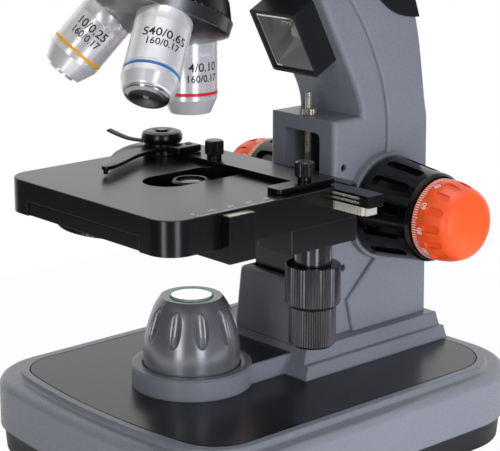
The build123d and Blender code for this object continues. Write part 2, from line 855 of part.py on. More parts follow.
def stage_upper():
    body = box(-stage_half_width, stage_half_width, stage_front, stage_back, skirt_z, stage_top_z)
    corners = body.edges().filter_by(Axis.Z).group_by(Axis.Y)
    body = fillet(corners[0], stage_corner)
    corners = body.edges().filter_by(Axis.Z).group_by(Axis.Y)
    body = fillet(corners[-1], stage_rear_corner)
    body = fillet(body.edges().group_by(Axis.Z)[-1], stage_edge)
    inside = stage_half_width - stage_wall
    deck_z = stage_top_z - stage_deck
    pocket = box(-inside, inside, stage_front + stage_wall, stage_back - stage_wall, skirt_z - 1, deck_z)
    body -= fillet(pocket.edges().filter_by(Axis.Z).group_by(Axis.Y)[0], stage_corner - stage_wall)
    gate = lower_half_width + 0.5
    gate_top = lower_top_z + lower_lip + 0.4
    body -= box(-gate, gate, stage_front - 1, stage_back + 1, skirt_z - 1, gate_top)
    rack_side = knob_x - drive_pitch + 1.5
    body -= box(0, rack_side, stage_back - stage_wall - 1, stage_back + 1, skirt_z - 1, gate_top)
    slot = extrude(SlotOverall(slot_length, slot_width, rotation=90), 60)
    body -= Pos(0, 0, stage_top_z - 30) * slot
    channel_left = bar_left - cross_travel - 1
    body -= box(channel_left, stage_half_width + 1, channel_front, channel_back, bar_bottom - rack_height - 0.3,
                stage_top_z + 1)
    for z in rail_heights:
        body -= crosswise(channel_left, stage_half_width + 1, bar_front, z, rail_radius + bar_side_gap)
    return body


def xy_housing():
    body = box(housing_left, housing_right, housing_front, stage_back, housing_bottom_z, skirt_z)
    body = fillet(body.edges().filter_by(Axis.Z), housing_edge)
    return body - upright(knob_x, knob_y, 0, stage_top_z, tube_radius + running_gap)


def knob_bush():
    body = upright(knob_x, knob_y, upper_knurl_top_z + seat_gap, housing_bottom_z, bush_radius)
    return body - upright(knob_x, knob_y, 0, stage_top_z, tube_radius + running_gap)


def knurled_knob(radius, height):
    # The foot has a wide bevel and the top a narrow one.
    body = knurled(radius, knurl_depth, knurl_ribs, height)
    shape = turned([(0, 0), (radius - knurl_bevel, 0), (radius, knurl_bevel), (radius, height - knurl_top_bevel),
                    (radius - knurl_top_bevel, height), (0, height)])
    return body & shape


upper_knurl_bottom_z = upper_knurl_top_z - upper_knurl_height


def y_knob():
    body = Pos(knob_x, knob_y, upper_knurl_bottom_z) * knurled_knob(upper_knurl_radius, upper_knurl_height)
    body += upright(knob_x, knob_y, upper_knurl_top_z - 1, lower_z, tube_radius)
    gear = Rot(0, 0, 180) * pinion(drive_module, drive_teeth, lower_thick - gear_gap)
    body += Pos(knob_x, knob_y, lower_z) * gear
    return body - upright(knob_x, knob_y, 0, stage_top_z, spindle_radius + running_gap)


def x_knob():
    top = upper_knurl_bottom_z - knurl_gap
    body = Pos(knob_x, knob_y, top - lower_knurl_height) * knurled_knob(lower_knurl_radius, lower_knurl_height)
    body += upright(knob_x, knob_y, top - 1, bar_bottom - 0.4, spindle_radius)
    gear = Rot(0, 0, 90) * pinion(drive_module, drive_teeth, rack_height - gear_gap)
    body += Pos(knob_x, knob_y, bar_bottom - rack_height + 0.2) * gear
    return body


def x_bar():
    body = box(bar_left, bar_right, bar_front, bar_back, bar_bottom, bar_top)
    body = chamfer(body.edges().filter_by(Axis.Z).group_by(Axis.X)[-1], 0.6)
    for z in rail_heights:
        body -= crosswise(bar_left - 1, bar_right + 1, bar_front, z, rail_radius)
    return body


def x_rails():
    rods = Part()
    for z in rail_heights:
        rods += crosswise(bar_left + 0.5, bar_right - 6, bar_front, z, rail_radius)
    return rods


def x_rack():
    pitch_y = knob_y + drive_pitch
    bar = toothed_bar(drive_module, rack_left, rack_right, rack_depth, rack_height, knob_x)
    return Pos(0, pitch_y, bar_bottom - rack_height) * bar


def y_rack():
    bar = toothed_bar(drive_module, -y_rack_reach, y_rack_reach, y_rack_depth, lower_thick - 2 * gear_gap, 0)
    frame = Plane(origin=(knob_x - drive_pitch, knob_y, lower_z + 0.3), x_dir=(0, 1, 0), z_dir=(0, 0, 1))
    return frame * bar


def slide_holder():
    z0 = stage_top_z + seat_gap
    z1 = z0 + holder_thick
    body = box(pivot_x, holder_right, holder_front, holder_back, z0, z1)
    body += upright(pivot_x, pivot_y, z0, z1, boss_cap_radius)
    body += box(holder_right - 9, holder_right, 5.0, holder_front + 1, z0, z1)
    body = fillet(body.edges().filter_by(Axis.Z).group_by(Axis.Y)[0], 2.5)
    body += box(bar_left + 2, holder_right - 2, bar_front + 0.3, holder_back, bar_top, z0)
    for x, y in screw_spots:
        body -= upright(x, y, z0 - 1, z1 + 1, screw_hole_radius)
    return body - upright(pivot_x, pivot_y, z0 - 1, z1 + 1, pivot_radius)


holder_top = stage_top_z + seat_gap + holder_thick


def thumb_screws():
    heads = Part()
    for x, y in screw_spots:
        head = Pos(x, y, holder_top) * knurled(screw_radius, screw_rib_depth, screw_ribs, screw_height)
        cap = Pos(x, y, holder_top) * turned(
            [(0, 0), (screw_radius - 0.9, 0), (screw_radius - 0.9, 1.8), (screw_radius + 0.1, 2.2),
             (screw_radius + 0.1, screw_height - 0.7), (screw_radius - 0.7, screw_height), (0, screw_height)])
        heads += (head & cap) + upright(x, y, stage_top_z + seat_gap, holder_top + 1, screw_hole_radius)
    return heads


def finger_pivot():
    end = holder_top + seat_gap + boss_cap_height + 0.6
    return upright(pivot_x, pivot_y, stage_top_z + seat_gap, end, pivot_radius)


def strip(points, widths, thick):
    # Flat bar whose half width changes from point to point.
    left = []
    right = []
    for i, (x, y) in enumerate(points):
        ahead = points[min(i + 1, len(points) - 1)]
        behind = points[max(i - 1, 0)]
        length = math.hypot(ahead[0] - behind[0], ahead[1] - behind[1])
        nx = -(ahead[1] - behind[1]) / length
        ny = (ahead[0] - behind[0]) / length
        left.append((x + nx * widths[i], y + ny * widths[i]))
        right.append((x - nx * widths[i], y - ny * widths[i]))
    wire = Spline(*left) + Line(left[-1], right[-1]) + Spline(*right[::-1]) + Line(right[0], left[0])
    return extrude(make_face(wire), thick)


def slide_finger():
    z0 = holder_top + seat_gap
    hub = Pos(pivot_x, pivot_y, z0) * turned(
        [(0, 0), (boss_cap_radius - 0.4, 0), (boss_cap_radius, 0.5), (boss_cap_radius, boss_cap_height - 2.2),
         (boss_cap_radius - 2.2, boss_cap_height), (0, boss_cap_height)])
    finger = [(pivot_x + 2, pivot_y - 4), (pivot_x + 4, pivot_y - 11.5), (-36.5, -6.0), (-30.5, -18.0),
              (-27.6, -26.1)]
    body = hub + Pos(0, 0, z0) * strip(finger, (4.0, 3.4, 2.8, 2.4, 1.8), finger_thick)
    drop = z0 - stage_top_z - seat_gap
    tip = [(-31.5, -16.0), (-29.5, -21.0), (-27.6, -26.1)]
    body += Pos(0, 0, z0 - drop) * strip(tip, (2.2, 2.1, 1.8), drop + finger_thick)
    lever = [(pivot_x - 3, pivot_y - 4), (pivot_x - 11, pivot_y - 8.5), (-70.5, 9.2)]
    body += Pos(0, 0, z0 + lever_lift) * strip(lever, (3.0, 2.4, 2.0), finger_thick)
    return body - upright(pivot_x, pivot_y, 0, nose_top_z, pivot_radius + running_gap)


def facet_plane(along):
    # Local x is the object's X, local y climbs along the facet, local z leaves the arm.
    origin = (0, facet_low[0] + facet_dir[0] * along, facet_low[1] + facet_dir[1] * along)
    return Plane(origin=origin, x_dir=(1, 0, 0), z_dir=(0, -facet_dir[1], facet_dir[0]))


lamp_center = lamp_from_facet_low + lamp_tall / 2


def frustum(half_x, half_y, deep, floor_x, floor_y, floor_z):
    mouth = Pos(0, 0, deep) * Rectangle(2 * half_x, 2 * half_y)
    bottom = Pos(0, 0, floor_z) * Rectangle(2 * floor_x, 2 * floor_y)
    return loft([bottom, mouth])


def top_lamp_box():
    body = Pos(0, 0, lamp_deep / 2) * Box(2 * lamp_half_width, lamp_tall, lamp_deep)
    body = fillet(body.edges().filter_by(Axis.Z), lamp_corner)
    body -= frustum(lamp_half_width - lamp_wall, lamp_tall / 2 - lamp_wall, lamp_deep + 0.01, led_seat, led_seat,
                    lamp_floor)
    return facet_plane(lamp_center) * body


def top_lamp_reflector():
    mouth_x = lamp_half_width - lamp_wall
    mouth_y = lamp_tall / 2 - lamp_wall
    deep = lamp_deep - lamp_lip
    part_way = (deep - lamp_floor) / (lamp_deep + 0.01 - lamp_floor)
    end_x = led_seat + (mouth_x - led_seat) * part_way
    end_y = led_seat + (mouth_y - led_seat) * part_way
    outer = frustum(end_x, end_y, deep, led_seat, led_seat, lamp_floor)
    inner = frustum(end_x - reflector_thick, end_y - reflector_thick, deep + 0.01, led_seat - reflector_thick,
                    led_seat - reflector_thick, lamp_floor + reflector_thick)
    return facet_plane(lamp_center) * (outer - inner)


def top_lamp_led():
    body = grown(led_radius, led_height)
    body += Pos(0, 0, led_height) * Sphere(led_radius * 0.75)
    body -= Pos(0, 0, -2 * led_radius) * Box(4 * led_radius, 4 * led_radius, 4 * led_radius)
    return facet_plane(lamp_center) * Pos(0, 0, lamp_floor + reflector_thick) * body


def objective_plane(turn):
    s = math.sin(math.radians(lean))
    c = math.cos(math.radians(lean))
    ct = math.cos(math.radians(turn))
    st = math.sin(math.radians(turn))
    heading = (s * st, -s * c + s * c * ct, -c * c - s * s * ct)
    origin = tuple(shoulder_length * v for v in heading)
    across = (ct, -st * c, st * s)
    return Plane(origin=(origin[0], origin[1], origin[2] + apex_z), x_dir=across, z_dir=heading)


def turret_mount():
    height = ring_start - seat_gap - mount_start
    return nosepiece_plane(mount_start) * grown(mount_radius, height)


def turret_ring():
    # The ring's side widens towards the dish.
    body = knurled(grip_ring_radius, grip_rib_depth, grip_ring_ribs, grip_ring_height)
    body = body & turned([(0, 0), (grip_ring_top_radius, 0), (grip_ring_radius, grip_ring_height),
                          (0, grip_ring_height)])
    body -= Cylinder(grip_ring_bore, 4 * grip_ring_height)
    return nosepiece_plane(ring_start) * body


objective_turns = (0, 120, -120)


def turret_dish():
    s = math.sin(math.radians(lean))
    c = math.cos(math.radians(lean))
    seat_r = (shoulder_length - 1.6) * s
    seat_t = (shoulder_length - 1.6) * c - ring_start
    slope = s / c
    band_top = grip_ring_height
    band_end = band_top + dish_band
    hub_t = seat_t + (seat_r - dish_hub) * slope
    body = turned([(0, 0), (grip_ring_bore, 0), (grip_ring_bore, band_top), (dish_radius, band_top),
                   (dish_radius, band_end), (dish_radius - 1.5, band_end + 1.2), (seat_r, seat_t),
                   (dish_hub, hub_t), (0, hub_t)])
    body = nosepiece_plane(ring_start) * body
    for turn in objective_turns:
        frame = objective_plane(turn)
        body += frame * Pos(0, 0, -boss_length) * grown(boss_out_radius, boss_length)
    for turn in objective_turns:
        frame = objective_plane(turn)
        body -= frame * Pos(0, 0, -spigot_length) * grown(spigot_radius, spigot_length + 1)
    return body


def objective_shell(profile, band_at):
    body = turned([(0, -spigot_length), (spigot_radius, -spigot_length), (spigot_radius, 0),
                   (barrel_radius - 1.2, 0), (barrel_radius - 1.2, 1.2), (barrel_radius, 1.8)] + profile)
    groove = Pos(0, 0, band_at) * Cylinder(barrel_radius + 1, band_width)
    groove -= Pos(0, 0, band_at) * Cylinder(barrel_radius - band_depth, band_width + 1)
    return body - groove


def objective_low():
    r = barrel_radius
    shape = [(r, 21.8), (r - 2.9, 28.3), (r - 5.2, 28.3), (r - 6.2, 27.1), (0, 27.1)]
    return objective_plane(0) * objective_shell(shape, low_band)


def objective_middle():
    r = barrel_radius
    shape = [(r, 21.8), (r - 3.1, 29.0), (r - 5.4, 29.0), (r - 5.9, 29.3), (r - 5.9, 30.4), (r - 6.9, 30.4),
             (r - 8.8, 29.6), (0, 29.6)]
    return objective_plane(-120) * objective_shell(shape, middle_band)


def objective_high():
    r = barrel_radius
    shape = [(r, 27.2), (r - 1.6, high_end - 0.5), (r - 2.1, high_end), (0, high_end)]
    body = objective_shell(shape, high_band)
    body -= Pos(0, 0, high_end - tip_sunk) * grown(tip_radius + running_gap, tip_sunk + 1)
    return objective_plane(120) * body


def objective_nose():
    r = tip_radius
    low = high_end - tip_sunk + nose_stroke + seat_gap
    body = turned([(0, low), (r, low), (r, high_end + 0.9), (r - 0.4, high_end + 1.3), (r - 2.1, high_end + 2.1),
                   (r - 2.9, high_end + 2.1), (1.6, high_end + 1.2), (0, high_end + 1.2)])
    return objective_plane(120) * body


def tube_plane(along):
    c = math.cos(math.radians(tube_angle))
    s = math.sin(math.radians(tube_angle))
    return Plane(origin=(0, -c * along, tube_origin_z + s * along), x_dir=(1, 0, 0), z_dir=(0, -c, s))


def head_body():
    z0 = nose_top_z + head_gap
    shell = upright(0, 0, z0, z0 + head_height, head_radius)
    shell = fillet(shell.edges().group_by(Axis.Z)[-1], 8)
    shell = fillet(shell.edges().group_by(Axis.Z)[0], 1.0)
    shell += tube_plane(0) * grown(tube_sleeve_radius, tube_sleeve_end)
    shell += Pos(0, 0, tube_origin_z) * Sphere(tube_sleeve_radius)
    shell += upright(0, 0, nose_top_z - head_spigot_depth + 0.3, z0 + 2, head_spigot_radius)
    shell -= tube_plane(tube_sleeve_end - sleeve_depth) * grown(eye_tube_radius, 2 * sleeve_depth)
    return shell


def eye_tube():
    start = tube_sleeve_end - sleeve_depth
    body = tube_plane(start) * grown(eye_tube_radius, eye_tube_end - start)
    return body - tube_plane(eye_tube_end - eye_barrel_sunk - 2) * grown(eye_tube_bore, eye_barrel_sunk + 5)


def eyepiece():
    body = tube_plane(eye_tube_end - eye_barrel_sunk) * grown(eye_barrel_radius, eye_barrel_sunk + 2)
    cone = turned([(0, 0), (eye_flange_radius, 0), (eye_flange_radius, 6), (eye_flange_radius - 0.8, 6.6),
                   (eye_flange_radius - 0.8, eye_body_length), (0, eye_body_length)])
    body += tube_plane(eye_tube_end) * cone
    return body - tube_plane(eye_tube_end + eye_body_length - eye_lens_sunk) * grown(eye_lens_radius, 10)


def eye_lens():
    return tube_plane(eye_tube_end + eye_body_length - eye_lens_sunk) * domed_disc(eye_lens_radius, 0, 2.0, 1.2)


def eyecup():
    r = eye_flange_radius - 0.8
    rim = eye_lens_radius + 2.0
    body = turned([(r, -8.0), (r + 1.6, -8.0), (r + 1.6, 0), (eyecup_radius, eyecup_length - 1.0),
                   (eyecup_radius - 0.6, eyecup_length), (eyecup_radius - 1.6, eyecup_length), (rim + 1, 1.6),
                   (rim, 1.0), (rim, 0), (r, 0)])
    return tube_plane(eye_tube_end + eye_body_length) * body


def clamp_place(sunk):
    return Pos(nose_radius - sunk, 0, clamp_z) * Rot(0, 90, 0)


def head_screw():
    head = Pos(0, 0, clamp_sunk) * knurled(clamp_head_radius, 0.5, 20, 8)
    return clamp_place(clamp_sunk) * (grown(clamp_radius, 2 * clamp_sunk) + head)


def mirrored(body):
    return mirror(body, about=Plane.YZ)


def build():
    solid_arm = arm()
    solid_arm -= clamp_place(clamp_sunk + running_gap) * grown(clamp_radius, 4 * clamp_sunk)
    right_coarse = coarse_knob()
    right_fine = fine_knob()
    return {
        "base_casing": base_casing(), "base_plate": base_plate(), "base_tray": base_tray(), "feet": feet(),
        "dimmer_wheel": dimmer_wheel(), "power_inlet": power_inlet(), "arm_foot": arm_foot(),
        "neck_pad": neck_pad(), "lamp_hood": lamp_hood(), "lamp_lens": lamp_lens(), "arm": solid_arm,
        "arm_grip": arm_grip(solid_arm), "coarse_shaft": coarse_shaft(), "coarse_knob_right": right_coarse,
        "coarse_knob_left": mirrored(right_coarse), "fine_shaft": fine_shaft(),
        "fine_knob_right": right_fine, "fine_knob_left": mirrored(right_fine), "stop_rod": stop_rod(),
        "stop_nut": stop_nut(), "guide_rods": guide_rods(), "focus_carriage": focus_carriage(),
        "focus_rack": focus_rack(), "stage_lower": stage_lower(), "condenser_ring": condenser_ring(),
        "condenser_lens": condenser_lens(), "vernier_block": vernier_block(),
        "diaphragm_disc": diaphragm_disc(), "disc_pivot": disc_pivot(), "stage_upper": stage_upper(),
        "xy_housing": xy_housing(), "knob_bush": knob_bush(), "y_knob": y_knob(), "x_knob": x_knob(),
        "x_bar": x_bar(), "x_rails": x_rails(), "x_rack": x_rack(), "y_rack": y_rack(),
        "slide_holder": slide_holder(), "thumb_screws": thumb_screws(), "finger_pivot": finger_pivot(),
        "slide_finger": slide_finger(), "top_lamp_box": top_lamp_box(),
        "top_lamp_reflector": top_lamp_reflector(), "top_lamp_led": top_lamp_led(),
        "turret_mount": turret_mount(), "turret_ring": turret_ring(), "turret_dish": turret_dish(),
        "objective_low": objective_low(), "objective_middle": objective_middle(),
        "objective_high": objective_high(), "objective_nose": objective_nose(), "head_body": head_body(),
        "head_screw": head_screw(), "eye_tube": eye_tube(), "eyepiece": eyepiece(), "eye_lens": eye_lens(),
        "eyecup": eyecup(),
    }


pieces = build()
ends = []
for shape in pieces.values():
    extent = shape.bounding_box()
    ends.append((extent.min.Y, extent.max.Y))
middle = (min(low for low, high in ends) + max(high for low, high in ends)) / 2
for name, shape in pieces.items():
    export_step(Pos(0, -middle, 0) * shape, f"parts/{name}.step")
print("shift along Y", round(-middle, 4), "pieces", len(pieces))
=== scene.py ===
import json
import math
import bpy
from mathutils import Matrix, Vector


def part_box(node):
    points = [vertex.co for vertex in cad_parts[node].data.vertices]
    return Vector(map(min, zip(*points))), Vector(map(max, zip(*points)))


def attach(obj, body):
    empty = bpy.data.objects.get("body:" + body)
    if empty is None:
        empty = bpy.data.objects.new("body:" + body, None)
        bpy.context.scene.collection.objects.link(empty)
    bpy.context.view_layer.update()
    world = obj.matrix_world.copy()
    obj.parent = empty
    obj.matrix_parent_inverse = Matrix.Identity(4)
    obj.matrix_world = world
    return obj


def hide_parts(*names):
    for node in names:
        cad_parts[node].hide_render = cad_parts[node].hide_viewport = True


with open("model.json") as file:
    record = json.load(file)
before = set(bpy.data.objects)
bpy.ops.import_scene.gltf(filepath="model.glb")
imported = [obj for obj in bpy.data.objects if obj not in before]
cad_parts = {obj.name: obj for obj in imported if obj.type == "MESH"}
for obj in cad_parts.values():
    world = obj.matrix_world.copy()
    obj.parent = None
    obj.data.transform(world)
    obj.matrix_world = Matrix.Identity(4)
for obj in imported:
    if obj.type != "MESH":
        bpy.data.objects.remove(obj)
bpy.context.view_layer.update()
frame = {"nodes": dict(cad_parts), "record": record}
nodes = frame["nodes"]
mm = 0.001
lensLow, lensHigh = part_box("lamp_lens")
axisY = (lensLow.y + lensHigh.y) / 2  # the light path stands at x = 0 and this y
print("frame loaded:", len(nodes), "nodes, light path at y", round(axisY, 5))


def onAxis(x, y, z):  # millimetres from the foot of the light path, as metres in the frame
    return Vector((x * mm, axisY + y * mm, z * mm))


def hexToLinear(code):
    parts = [int(code[i:i + 2], 16) / 255 for i in (1, 3, 5)]
    return tuple(p / 12.92 if p <= 0.04045 else ((p + 0.055) / 1.055) ** 2.4 for p in parts) + (1.0,)


def perMm(size):
    return 1 / (size * mm)  # texture scale that gives a feature of this many millimetres


def addNode(tree, kind, values=None, links=None, **settings):
    node = tree.nodes.new(kind)
    for name, value in settings.items():
        setattr(node, name, value)
    for name, value in (values or {}).items():
        node.inputs[name].default_value = value
    for name, source in (links or {}).items():
        tree.links.new(source, node.inputs[name])
    return node


def deselectAll():
    bpy.ops.object.select_all(action="DESELECT")


def pick(piece):
    deselectAll()
    piece.select_set(True)
    bpy.context.view_layer.objects.active = piece


def openEdit(piece, kind, test=None):  # edit mode, with the points, edges or faces that pass the test
    pick(piece)
    bpy.ops.object.mode_set(mode="EDIT")
    bpy.ops.mesh.select_mode(type=kind)
    bpy.ops.mesh.select_all(action="DESELECT" if test else "SELECT")
    if not test:
        return
    bpy.ops.object.mode_set(mode="OBJECT")
    mesh = piece.data
    if kind == "FACE":
        for face in mesh.polygons:
            face.select = test(face.center, face.normal)
    if kind == "EDGE":
        for edge in mesh.edges:
            edge.select = test(*[mesh.vertices[i].co for i in edge.vertices])
    if kind == "VERT":
        for point in mesh.vertices:
            point.select = test(point.co)
    bpy.ops.object.mode_set(mode="EDIT")


def closeEdit():
    bpy.ops.object.mode_set(mode="OBJECT")


def applyModifier(piece, kind, **settings):
    pick(piece)
    added = piece.modifiers.new(kind, kind)
    for name, value in settings.items():
        setattr(added, name, value)
    bpy.ops.object.modifier_apply(modifier=added.name)


def setIn(piece, place):  # the place goes into the mesh
    pick(piece)
    piece.matrix_world = place
    bpy.ops.object.transform_apply(location=True, rotation=True, scale=True)


def joinAll(pieces):
    deselectAll()
    for piece in pieces:
        piece.select_set(True)
    bpy.context.view_layer.objects.active = pieces[0]
    if len(pieces) > 1:
        bpy.ops.object.join()
    return bpy.context.view_layer.objects.active


def copyOf(piece):
    twin = piece.copy()
    twin.data = piece.data.copy()
    bpy.context.scene.collection.objects.link(twin)
    return twin


def finishPiece(piece, name, material, body, angle=30):
    pick(piece)
    piece.name = name
    piece.data.name = name
    piece.data.materials.clear()
    piece.data.materials.append(material)
    bpy.ops.object.shade_smooth_by_angle(angle=math.radians(angle))
    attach(piece, body)
    return piece


# The nosepiece as in the solids: the working barrel hangs upright, the other two lean forward.
turretSetup = {"lean": 24.0, "apexZ": 247.96, "shoulder": 54.75, "barrel": 12.0}


def barrelFrame(turn):  # Z runs down the barrel, X across it
    s, c = math.sin(math.radians(turretSetup["lean"])), math.cos(math.radians(turretSetup["lean"]))
    st, ct = math.sin(math.radians(turn)), math.cos(math.radians(turn))
    down = Vector((s * st, -s * c + s * c * ct, -c * c - s * s * ct))
    across = Vector((ct, -st * c, st * s))
    place = Matrix((across, down.cross(across), down)).transposed().to_4x4()
    place.translation = onAxis(0, 0, turretSetup["apexZ"]) + down * turretSetup["shoulder"] * mm
    return place


barrelFrames = {"low": barrelFrame(0), "high": barrelFrame(120), "middle": barrelFrame(-120)}


# Where the noise turns to colour, gloss and flecks, and how deep the grain is against its width.
patternSetup = {"patchSpots": (0.35, 0.65), "grainSpan": (0.3, 0.7), "fleckFrom": 0.55, "grainDepth": 0.2}


def makeFinish(name, look):
    made = bpy.data.materials.new(name)
    made.use_nodes = True
    tree = made.node_tree
    shader = tree.nodes["Principled BSDF"]
    for socket, value in look.get("sockets", {}).items():
        shader.inputs[socket].default_value = value
    place = addNode(tree, "ShaderNodeTexCoord").outputs["Object"]
    patches = addNode(tree, "ShaderNodeTexNoise", {"Scale": perMm(look["patchMm"]), "Detail": 3.0},
        {"Vector": place})
    ramp = addNode(tree, "ShaderNodeValToRGB", links={"Fac": patches.outputs["Fac"]})
    tones = (look["shade"], look["colour"])
    for stop, spot, code in zip(ramp.color_ramp.elements, patternSetup["patchSpots"], tones):
        stop.position, stop.color = spot, hexToLinear(code)
    colour = ramp.outputs["Color"]
    grainValues = {"Scale": perMm(look["grainMm"]), "Detail": 2.0}
    if "lathe" in look:  # turning marks run round the barrel: they follow length and radius from its axis
        turn = look["lathe"].inverted()
        laid = addNode(tree, "ShaderNodeMapping",
            {"Location": turn.translation, "Rotation": turn.to_euler()}, {"Vector": place})
        split = addNode(tree, "ShaderNodeSeparateXYZ", links={"Vector": laid.outputs["Vector"]})
        flat = addNode(tree, "ShaderNodeCombineXYZ", links={"X": split.outputs["X"], "Y": split.outputs["Y"]})
        wide = addNode(tree, "ShaderNodeVectorMath", links={0: flat.outputs["Vector"]}, operation="LENGTH")
        run = addNode(tree, "ShaderNodeMath", links={0: split.outputs["Z"], 1: wide.outputs["Value"]},
            operation="ADD")
        grain = addNode(tree, "ShaderNodeTexNoise", grainValues, {"W": run.outputs["Value"]},
            noise_dimensions="1D")
    else:
        grain = addNode(tree, "ShaderNodeTexNoise", grainValues, {"Vector": place})
    if "fleckMm" in look:  # flakes in the paint: a few cells are lighter
        cells = addNode(tree, "ShaderNodeTexVoronoi", {"Scale": perMm(look["fleckMm"])}, {"Vector": place})
        bright = addNode(tree, "ShaderNodeMapRange",
            {"From Min": patternSetup["fleckFrom"], "From Max": 1.0, "To Max": look["fleck"]},
            {"Value": cells.outputs["Color"]})
        flecked = addNode(tree, "ShaderNodeMixRGB", {"Color2": hexToLinear(look["fleckColour"])},
            {"Fac": bright.outputs["Result"], "Color1": colour})
        colour = flecked.outputs["Color"]
    tree.links.new(colour, shader.inputs["Base Color"])
    least, most = patternSetup["grainSpan"]
    smooth, rough = look["roughness"]
    gloss = addNode(tree, "ShaderNodeMapRange",
        {"From Min": least, "From Max": most, "To Min": smooth, "To Max": rough},
        {"Value": grain.outputs["Fac"]})
    tree.links.new(gloss.outputs["Result"], shader.inputs["Roughness"])
    normal = {}
    if "edgeMm" in look:  # cast and painted edges are soft, so they catch a line of light
        soft = addNode(tree, "ShaderNodeBevel", {"Radius": look["edgeMm"] * mm}, samples=4)
        normal["Normal"] = soft.outputs["Normal"]
    if "bump" in look:
        depth = look["grainMm"] * mm * patternSetup["grainDepth"]
        bump = addNode(tree, "ShaderNodeBump", {"Strength": look["bump"], "Distance": depth},
            {"Height": grain.outputs["Fac"], **normal})
        tree.links.new(bump.outputs["Normal"], shader.inputs["Normal"])
    if "lathe" in look:  # the turning marks draw the highlights out along the barrel
        outward = addNode(tree, "ShaderNodeVectorMath", {1: look["lathe"].translation}, {0: place},
            operation="SUBTRACT")
        around = addNode(tree, "ShaderNodeVectorMath", {0: look["lathe"].col[2].to_3d()},
            {1: outward.outputs["Vector"]}, operation="CROSS_PRODUCT")
        tree.links.new(around.outputs["Vector"], shader.inputs["Tangent"])
    return made


